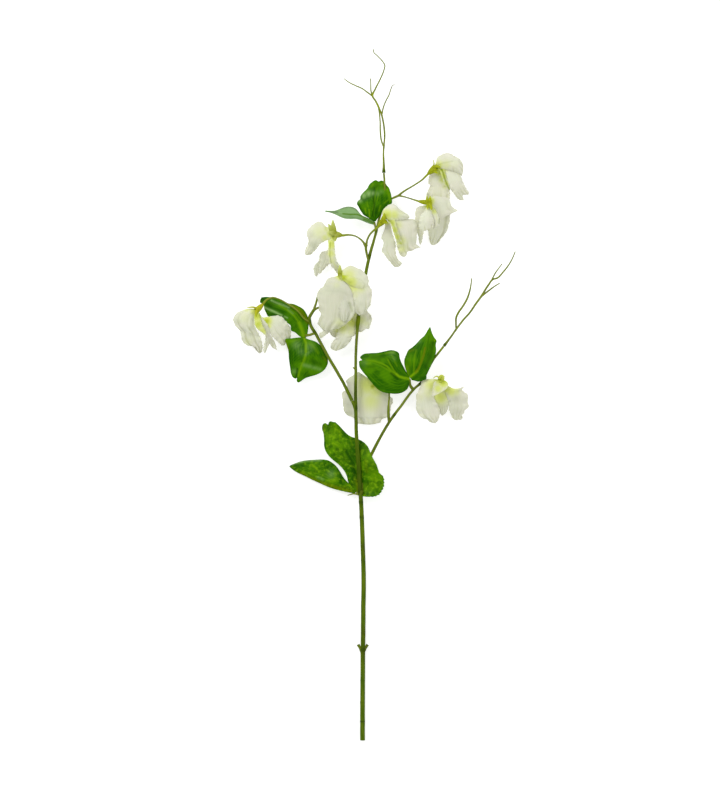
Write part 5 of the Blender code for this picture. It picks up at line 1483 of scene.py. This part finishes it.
petal(
    "flower_4", "standard",
    edges=[
        [(-41, 163.1), (-44.4, 167.5), (-48.6, 169.1), (-50.2, 171.3), (-52.6, 173.3), (-56, 173.5),
         (-60, 171.5), (-63.4, 168.5), (-66, 165.5), (-67, 161.9), (-66.4, 158.1), (-65.4, 155.1),
         (-66, 151.9), (-67.2, 148.9), (-68.6, 146.1), (-69.3, 143.1)],
        [(-41, 159.5), (-44, 155.9), (-47.2, 155.1), (-50.4, 153.3), (-53.4, 151.9), (-55.6, 149.1),
         (-58, 145.9), (-60.6, 143.1), (-63.2, 140.7)],
    ],
    rise=[20.5, 24.5, 26, 23, 17], cup=[0.4, 3, 4, 3, 1.2], tip=[0, 1.8, 2, 1, 0], seed=134, pleats=0.35,
    glows=[(-43, 161.5, 5, 0.7), (-47, 166, 5, 0.4), (-49, 157.5, 5, 0.4), (-54, 163, 9, 0.25)],
    shade_spots=[(-61, 150.5, 4.6, 0.55), (-62, 160, 5, 0.4), (-57, 168, 6, 0.2)],
    shaded_fold_lines=[
        ([(-65, 155.5), (-63.6, 149.5), (-61, 146.1)], 0.9, 0.4),
        ([(-50, 162.5), (-58, 161.9), (-63, 157.5)], 1.2, 0.15),
    ],
)

# Flower 5 is the large one left of the stem: a broad ruffled wing, a curl in its bowl and a hood behind.
petal(
    "flower_5", "standard",
    edges=[
        [(-34.2, 122.1), (-32, 124.7), (-29.4, 126.5), (-27, 128.1), (-24, 129.5), (-18, 127.5),
         (-13, 125.5), (-9.6, 122.5), (-6.8, 119.3), (-5.1, 114.5), (-5.8, 110.5), (-3.6, 107.5),
         (-2.3, 103.5), (-2.4, 98.5), (-3, 94.5), (-3.6, 90.5), (-5.6, 87.7), (-8, 84.1)],
        [(-33.4, 117.9), (-30, 114.5), (-26.4, 109.5), (-24.6, 104.5), (-23.4, 98.5), (-22.4, 92.5),
         (-20.8, 86.5), (-18.2, 82.5), (-14.6, 80.1)],
    ],
    rise=[33, 35, 35.5, 34.5, 32, 28], cup=([0.4, 2.4, 3.4, 3, 2.4, 1.5], [0.4, 1.6, 2, 1.6, 1.2, 1]),
    tip=[0, 1.2, 1.4, 0.8, 0], seed=142, pleats=0.3, tone=0.14,
    glows=[(-25, 120, 8, 0.42), (-20, 109, 8, 0.5), (-14, 107, 6, 0.35), (-19, 102, 6, 0.25)],
    shade_spots=[(-10, 99, 6, 0.2), (-13, 91, 4, 0.35), (-16, 88, 3, 0.3), (-8, 117, 5, 0.25)],
)
petal(
    "flower_5", "keel",
    edges=[
        [(-33.6, 119.9), (-27, 119.5), (-20, 118.1), (-14, 115.5), (-9.4, 111.9)],
        [(-33.6, 116.1), (-29, 113.5), (-24, 110.1), (-18, 107.3), (-12, 105.5)],
    ],
    rise=[34, 36.4, 37.4, 37, 35], cup=([0.3, 1.4, 2, 1.6, 0.8], [0.3, 1, 1.4, 1.4, 0.8]), tip=[0, 0.6, 0],
    seed=144, pleats=0.1, ruffle=0.3, keel_line=0.5,
    glows=[(-30.6, 118, 7, 0.9), (-24, 112.4, 8, 0.7), (-16, 109, 7, 0.3)],
    creases=[([(-31.6, 117.9), (-28, 114.9), (-24, 112.5)], 1.2, 0.2)],
)
petal(
    "flower_5", "left_wing",
    edges=[
        [(-34, 119.9), (-39, 118.5), (-43, 117.7), (-46.5, 116), (-48.5, 112.5), (-50, 109.5), (-54, 106),
         (-56, 103.5), (-57, 100), (-56.4, 95.5), (-55.5, 92.5), (-55, 89.5), (-54.7, 84.5), (-53.5, 82.5),
         (-53, 80), (-54.5, 77.5), (-55.7, 74.5), (-55.8, 71), (-53.5, 69.5)],
        [(-33, 118.1), (-29, 113.1), (-25, 108.5), (-22.2, 103.5), (-20.8, 97.5), (-20, 91.5),
         (-19.2, 86.5), (-19.8, 81.5), (-22, 77.5), (-25.6, 73.5), (-30, 69.9), (-36, 66.5)],
    ],
    rise=[33, 35.5, 37, 34.4, 33, 31.8, 30, 27],
    cup=([0.4, 3, 4.4, 3, 2, 1.6, 1.6, 3], [0.4, 1, 1.6, 0.6, -0.4, -0.4, 1, 2]),
    tip=[0, 3, 4.5, 4, 2.5, 1, 0], seed=141, pleats=0.45, tone=0.34,
    glows=[(-37, 110, 4, 0.2), (-34, 72, 7, 0.25)],
    shade_spots=[(-42, 112, 5, 0.3), (-36, 102, 9, 0.3), (-26, 98, 6, 0.4), (-52, 100, 6, 0.25),
           (-50, 68, 5, 0.5), (-53, 75, 5, 0.45), (-28, 86, 7, 0.35), (-44, 76, 5, 0.25)],
    shaded_fold_lines=[
        ([(-48, 104.5), (-41, 103.9), (-34, 103.9), (-28.4, 101.5), (-25, 97.5), (-23.4, 93.5)], 2.8, 0.42),
        ([(-32, 97.5), (-36, 91.5), (-38.6, 84.5), (-39, 78.5)], 2.4, 0.42),
        ([(-38, 105.5), (-44, 96.5), (-48, 89.5)], 2.4, 0.36),
        ([(-24.6, 92.1), (-23.6, 88.5), (-22, 84.5)], 2, 0.95),
        ([(-35, 83.5), (-34, 76.9), (-30.6, 72.9), (-27, 73.1)], 1.5, 0.4),
        ([(-55.4, 99.5), (-50, 101.5)], 2, 0.15),
    ],
)
petal(
    "flower_5", "right_wing",
    edges=[
        [(-33, 117.5), (-32, 111.5), (-31.6, 104.5), (-32.2, 97.5), (-34, 90.9), (-35.2, 84.5),
         (-34.4, 77.5)],
        [(-32, 117.5), (-29, 111.5), (-27, 104.5), (-25.6, 97.5), (-24.4, 90.9), (-23.8, 84.5),
         (-25, 77.9)],
    ],
    rise=[32, 31.8, 32, 33.6, 35.4, 35.8, 34], cup=([0.3, 1, 2, 2.4, 3, 2.4], [0.3, 1, 2, 2.6, 3.4, 3]),
    tip=[0, 2.6, 4, 2.6, 0], seed=143, pleats=0.3, tone=0.3,
    shade_spots=[(-33.6, 82, 4, 0.45), (-25, 90, 3, 0.5), (-29, 75, 4, 0.3)],
    shaded_fold_lines=[([(-27.4, 95.5), (-26.4, 89.5), (-27.6, 83.5)], 1.6, 0.4)],
)

# Flower 6 is half hidden below flower 5, with its standard hanging down and a wing behind the stem's top.
petal(
    "flower_6", "keel",
    edges=[
        [(-36, 77.5), (-41, 71.5), (-46, 66.5), (-51, 64.1), (-54.4, 62.5)],
        [(-34.5, 76.5), (-38, 69.5), (-43, 64.5), (-48, 60.7), (-53, 57)],
    ],
    rise=[10, 12, 14, 14.4, 13.6], cup=[0.2, 0.6, 0.6], tip=[0, 1, 0.6, 0], seed=151, pleats=0.2,
    ruffle=0.3, tone=0.05,
)
petal(
    "flower_6", "left_wing",
    edges=[
        [(-33, 79.5), (-40, 76.5), (-46, 72.5), (-50, 68.5), (-51.4, 65.7), (-49, 64.1), (-44.5, 63.9),
         (-43.7, 61.5), (-41.8, 59.5)],
        [(-31.6, 78.9), (-32.4, 73.5), (-33.4, 67.5), (-34.6, 62.5), (-36.6, 58.1)],
    ],
    rise=[11, 15, 15.4, 13], cup=[0.2, 1, 1.2, 0.8], tip=[0, 0.6, 0.8, 0.4, 0], seed=152, pleats=0.25,
    tone=0.08, glows=[(-36, 67, 6, 0.4)],
)
petal(
    "flower_6", "right_wing",
    edges=[
        [(-30.6, 81.1), (-22, 85.5), (-14, 87.5), (-7.5, 84.9), (-5.2, 82.7), (-2.8, 79.5), (-2, 75.5),
         (-3.4, 71.9), (-4.4, 68.5)],
        [(-30.4, 79.9), (-24, 73.5), (-19, 67.5), (-16, 63.5), (-12.5, 63.5), (-10, 65.5), (-7.5, 66.9),
         (-5.8, 66.6)],
    ],
    rise=[11, 15.4, 15.8, 14], cup=[0.3, 0.8, 1, 0.8], tip=[0, 0.5, 0.6, 0.4, 0], seed=153, pleats=0.3,
    glows=[(-22, 73, 7, 0.5), (-13, 75, 6, 0.35), (-8, 72, 4, 0.25), (-17, 80, 5, 0.35)],
)
petal(
    "flower_6", "standard",
    edges=[
        [(-31, 79.7), (-33, 73.5), (-35, 67.5), (-37, 61.5), (-39, 56.5), (-41.5, 53.7), (-43.1, 50),
         (-43.1, 47.1)],
        [(-29.4, 79.7), (-22.6, 75.5), (-18, 69.5), (-17.4, 64.5), (-18.8, 60.5), (-21.8, 58.7),
         (-23.4, 54.5), (-26, 51.5), (-29.2, 48.3)],
    ],
    rise=[12, 18, 20, 19, 16.5, 12.5], cup=[0.3, 1.6, 2, 1.6, 1.2, 0.6], tip=[0, 2.2, 3.2, 2, 0], seed=154,
    pleats=0.25, glows=[(-22, 73, 7, 0.6), (-31, 68, 7, 0.45), (-23, 65, 7, 0.3)],
    shade_spots=[(-35, 49, 7, 0.15)],
)

# Flower 7 hangs at the far left: a long ruffled standard, a forked strap, a green keel and a wing behind.
petal(
    "flower_7", "right_wing",
    edges=[
        [(-114.6, 82.9), (-113.4, 78.9), (-110, 77.9), (-106, 78.6), (-102, 79.3), (-94, 79.5), (-91, 77.7),
         (-88.4, 74.7), (-86, 71.5), (-84, 68.1), (-83.2, 63.5), (-83, 59.9), (-84, 56.9)],
        [(-114.8, 81.7), (-111.4, 75.1), (-107.4, 69.5), (-104.4, 64.1), (-102.2, 59.3), (-99, 56.5),
         (-96.8, 54.3), (-94.4, 51.9), (-92.2, 50.1), (-89.4, 50.3)],
    ],
    rise=[17.5, 20, 19.4, 18.6, 15, 9.6], cup=[0.3, 1.5, 2, 2.2, 1.4], tip=[0, -1, -1.4, -0.6, 0], seed=161,
    pleats=0.6, tone=0.12, glows=[(-107, 74.5, 5, 0.9), (-105, 69.5, 3, 0.5), (-112, 77.5, 3, 0.6)],
    shade_spots=[(-88, 65, 2, 0.7), (-85, 64.6, 2, 0.7), (-92, 61.5, 2.2, 0.5), (-88, 61, 2, 0.4),
           (-97, 70, 6, 0.2)],
)
petal(
    "flower_7", "left_wing",
    edges=[
        [(-115.4, 81.9), (-113.2, 76.9), (-111.6, 71.5), (-109.6, 65.5), (-108.4, 60.5), (-108.6, 56.5),
         (-109.6, 52.1), (-110.6, 47.5), (-110.9, 44.9)],
        [(-114.4, 82.1), (-110.4, 75.9), (-106.4, 70.9), (-104.2, 65.5), (-103.2, 60.1), (-101.2, 56.9),
         (-99.6, 54.1), (-98.2, 50.5), (-97.2, 45.9)],
    ],
    rise=[21, 22, 20.5, 17, 12.5, 9.6], cup=[0.3, 1, 1, 1, 0.6],
    tip=[0, 2.7, 1, -1.6, -4.5, -6.6, -4, -2.4, -1.4, -0.4, 0.4], seed=162, pleats=0.3,
    shade_spots=[(-108, 66, 5, 0.3), (-101, 52, 5, 0.35)],
)
petal(
    "flower_7", "standard",
    edges=[
        [(-117.6, 86.1), (-124, 86.9), (-129, 85.9), (-134, 84.1), (-137, 82.5), (-139.2, 79.7),
         (-140.7, 76.5), (-140.1, 73.1), (-138.4, 69.5), (-135.4, 66.5), (-133.6, 64.1), (-133, 60.1),
         (-132, 55.5), (-130, 52.3), (-126.4, 50.1), (-121.6, 49.5), (-119, 46.5), (-116.6, 43.7)],
        [(-117, 84.7), (-119.2, 79.5), (-119.8, 73.5), (-118.8, 68.1), (-116.4, 63.5), (-114.2, 59.5),
         (-112.6, 55.1), (-111.8, 50.5), (-111.8, 46.1), (-112.6, 43.5)],
    ],
    rise=[21, 22.5, 21, 16.5, 11.5, 6], cup=[0.3, 2.5, 3, 2.5, 2, 1], tip=[0, 1.2, 1.4, 0.4, 0], seed=163,
    tone=0.08, folds=[(-0.6, -0.5, -1.6, 0.16), (0.35, 0.3, -1.4, 0.14)],
    glows=[(-127, 86.5, 4, 0.4), (-120, 84, 4, 0.6), (-129, 78, 7, 0.2), (-126, 54, 5, 0.2)],
    shade_spots=[(-135.5, 74, 3.5, 0.5), (-123.5, 67, 2.6, 0.6), (-123.5, 61.5, 2.6, 0.6), (-131, 66, 5, 0.25)],
)
petal(
    "flower_7", "keel",
    edges=[
        [(-117, 84.5), (-119.2, 80.5), (-119.4, 75.5), (-118.2, 68.9), (-115.6, 65.7), (-112, 63.3),
         (-108.2, 59.7)],
        [(-115.2, 84.5), (-114.4, 79.5), (-113, 76.1), (-111.4, 70.5), (-109.4, 66.5), (-108, 63.5),
         (-107.2, 60.3)],
    ],
    rise=[23, 26, 27, 26, 24.5], cup=[0.3, 1.6, 2, 1.4, 0.8], tip=[0, 0.5, 0], seed=164, pleats=0.2,
    ruffle=0.3, keel_line=0.6, glows=[(-117, 79.5, 7, 0.85), (-115.6, 71, 6, 0.8), (-111, 64.6, 5, 0.6)],
)

# Flower 8 lies under the stem and the leaves, spread wide and facing up, with its glowing throat showing.
petal(
    "flower_8", "standard",
    edges=[
        [(-3, 8.9), (-12, 19.5), (-15.4, 23.5), (-19, 21.9), (-23, 18.9), (-26, 16.9), (-28.2, 14.9),
         (-26.6, 10.5), (-28, 5.5), (-31, 3.9), (-32.2, 1.5), (-31.6, -2.5), (-31, -6.5), (-30.7, -12.5),
         (-29.4, -16.5), (-27, -19.3), (-24, -20.7), (-21, -21.5), (-18.4, -25.1), (-16, -28.1)],
        [(0, 8.9), (8, 7.5), (14, 2.9), (16, -0.9), (18.6, -3.1), (19, -5.9), (17.2, -10.5), (16.4, -15.5),
         (15, -21.1), (12.4, -22.1), (9, -23.3), (7.2, -24.7), (6.6, -26.9)],
    ],
    rise=[10.6, 10, 9.4, 8.2, 6.4, 4.4], cup=[0.3, 1, 2.4, 3.2, 2.4, 1],
    tip=[0, 0.6, 1.2, 1.6, 1.4, 0.8, 0], seed=171, pleats=0.4, tone=0.12,
    glows=[(-6, 11, 12, 0.6), (1, 5, 10, 0.5), (-3, -5, 12, 0.42), (10, 0, 8, 0.2), (-12, 4, 10, 0.35)],
    shade_spots=[(-26, -10, 8, 0.55), (-24, -18, 8, 0.5), (7.5, -21, 3.4, 0.6), (-24, 12, 6, 0.2)],
)
petal(
    "flower_8", "left_wing",
    edges=[
        [(-3.4, 9.9), (-10, 18.5), (-15.4, 22.7), (-21, 19.7), (-25.6, 16.5), (-27.2, 14.1), (-25.8, 9.5),
         (-26.6, 3.5), (-28.4, -2.5), (-28, -8.5), (-26, -14.1)],
        [(-2.6, 8.5), (-7, 3.5), (-11, -2.5), (-14, -8.5), (-17, -13.5), (-20, -18.1)],
    ],
    rise=[9, 6.6, 5.2, 4.2, 3.2], cup=[0.3, 0.8, 1, 0.8], tip=[0, 0.6, 0.8, 0.4, 0], seed=172, tone=0.12,
    glows=[(-6, 11, 12, 0.6), (-12, 3, 10, 0.35)], shade_spots=[(-26, -8, 7, 0.5), (-24, 12, 6, 0.2)],
)
petal(
    "flower_8", "right_wing",
    edges=[
        [(0, 8.9), (8, 7.1), (14, 2.5), (16, -1.5), (17.8, -4.5), (16.8, -10.1), (15.6, -16.1)],
        [(-0.6, 7.5), (0, 0.5), (2, -6.5), (4, -13.1), (6.8, -19.3)],
    ],
    rise=[9, 6.8, 5.2, 4, 3], cup=[0.3, 0.8, 1, 0.6], tip=[0, 0.3, -0.6, 0.6, 0], seed=173, tone=0.08,
    glows=[(3, 6, 8, 0.5), (11, 0, 8, 0.25), (2, -4, 9, 0.3)],
)
petal(
    "flower_8", "keel",
    edges=[
        [(-2.8, 7.9), (-6.6, 3.5), (-8.2, -2.5), (-8.4, -8.5), (-6.4, -13.5)],
        [(-1, 7.9), (2, 3.5), (3.6, -2.5), (3, -8.5), (0, -13.1)],
    ],
    rise=[9, 8, 7, 5.8, 4.6], cup=[0.3, 1, 1.2, 1, 0.6], tip=[0, 0.9, 1.4, 0.8, 0], seed=174, pleats=0.3,
    tone=0.1, glows=[(-1, 6, 8, 0.5), (-2, -4, 10, 0.3)],
)

# Flower 9 hangs at the lower right: a wing on each side, a hollow little hood at the top and a short keel.
petal(
    "flower_9", "keel",
    edges=[
        [(64, 13.5), (61, 5.5), (58.6, -2.1), (59.6, -6.9), (63, -9.5), (65.4, -13.5), (66.4, -18.1)],
        [(67, 13.5), (71, 7.5), (74.4, 2.5), (75.4, -4.5), (74.6, -10.5), (73.4, -14.9), (71.4, -18.1)],
    ],
    rise=[19, 19, 18.5, 16.5, 12, 8], cup=[0.3, 1, 1.4, 1.4, 0.8], tip=[0, 1.4, 2, 1, 0], seed=181,
    glows=[(66, -1.5, 8, 0.6), (71, -1, 6, 0.45), (61, -4, 5, 0.35)],
    shade_spots=[(69, -12, 6, 0.35), (69, -18, 4, 0.4)],
)
petal(
    "flower_9", "right_wing",
    edges=[
        [(68, 12.5), (73.6, 9.9), (76, 8.5), (78.6, 7.2), (83, 7), (86.4, 7.7), (90.4, 9.2), (87.8, 5.7),
         (90, 4), (92.6, 1.9), (94.2, -0.5), (93.8, -3.9), (93.5, -6.5), (94.8, -9.5), (93.8, -12.5),
         (90.8, -14.9), (90, -17.5), (88.2, -19.5), (88.8, -22.5)],
        [(67.6, 10.5), (71, 3.5), (73.4, -3.5), (75, -9.5), (75, -14.1), (76.2, -17.1), (77.4, -19.9),
         (78.4, -22.5)],
    ],
    rise=[20.4, 21.5, 19.5, 15.5, 10.5, 5], cup=[0.3, 2, 2.5, 2.5, 1.2], tip=[0, 1.8, 1.6, 2.2, 1.6, 0],
    seed=182, glows=[(77, 5, 6, 0.62), (82, 4.5, 5, 0.4), (73, 6, 5, 0.6)],
    shade_spots=[(82, -3, 5, 0.6), (90, -3, 4, 0.2), (83, -16, 5, 0.4)],
)
petal(
    "flower_9", "left_wing",
    edges=[
        [(64, 15.9), (59, 16.5), (55, 16.5), (51, 15.9), (47.6, 14.1), (46.4, 9.5), (44.4, 4.9),
         (42.6, 1.5), (41.9, -1.9), (42.5, -4.9), (41.9, -11.1), (42.8, -15.5), (44.6, -18.9),
         (47.4, -21.9), (50.6, -23.3), (53.4, -23.9), (55.4, -26.3)],
        [(64, 14.5), (61.6, 7.5), (59.6, 0.5), (61.4, -5.5), (64, -9.5), (65.6, -14.5), (65.8, -18.9),
         (65, -21.9), (64.2, -24.7)],
    ],
    rise=[21.5, 22, 21.5, 18.5, 14.5, 10.5], cup=[0.3, 2, 2.5, 2.5, 1.5], tip=[0, 1.4, 2.4, 1.6, 0],
    seed=183, glows=[(57, 11, 8, 0.5), (54, 3, 7, 0.28), (47, -1, 6, 0.2), (62, 14, 3, 0.3)],
    shade_spots=[(55.5, -3, 4.5, 0.45)],
)
petal(
    "flower_9", "standard",
    edges=[
        [(64.4, 15.5), (60.6, 13.9), (59, 9.5), (58.2, 4.5), (57.4, -0.9)],
        [(67, 15.5), (71.6, 14.5), (73.8, 11.7), (73.2, 8.1), (70.8, 5.7)],
    ],
    rise=[23.5, 23, 22.6, 24, 28.6], cup=[-0.2, -1.5, -2.5, -2.4, 0.4], tip=[0, 0.8, 1, 0.8, 0], seed=184,
    ruffle=0.8, glows=[(69, 13.5, 5.6, 0.85), (64, 7, 5, 0.55)],
)
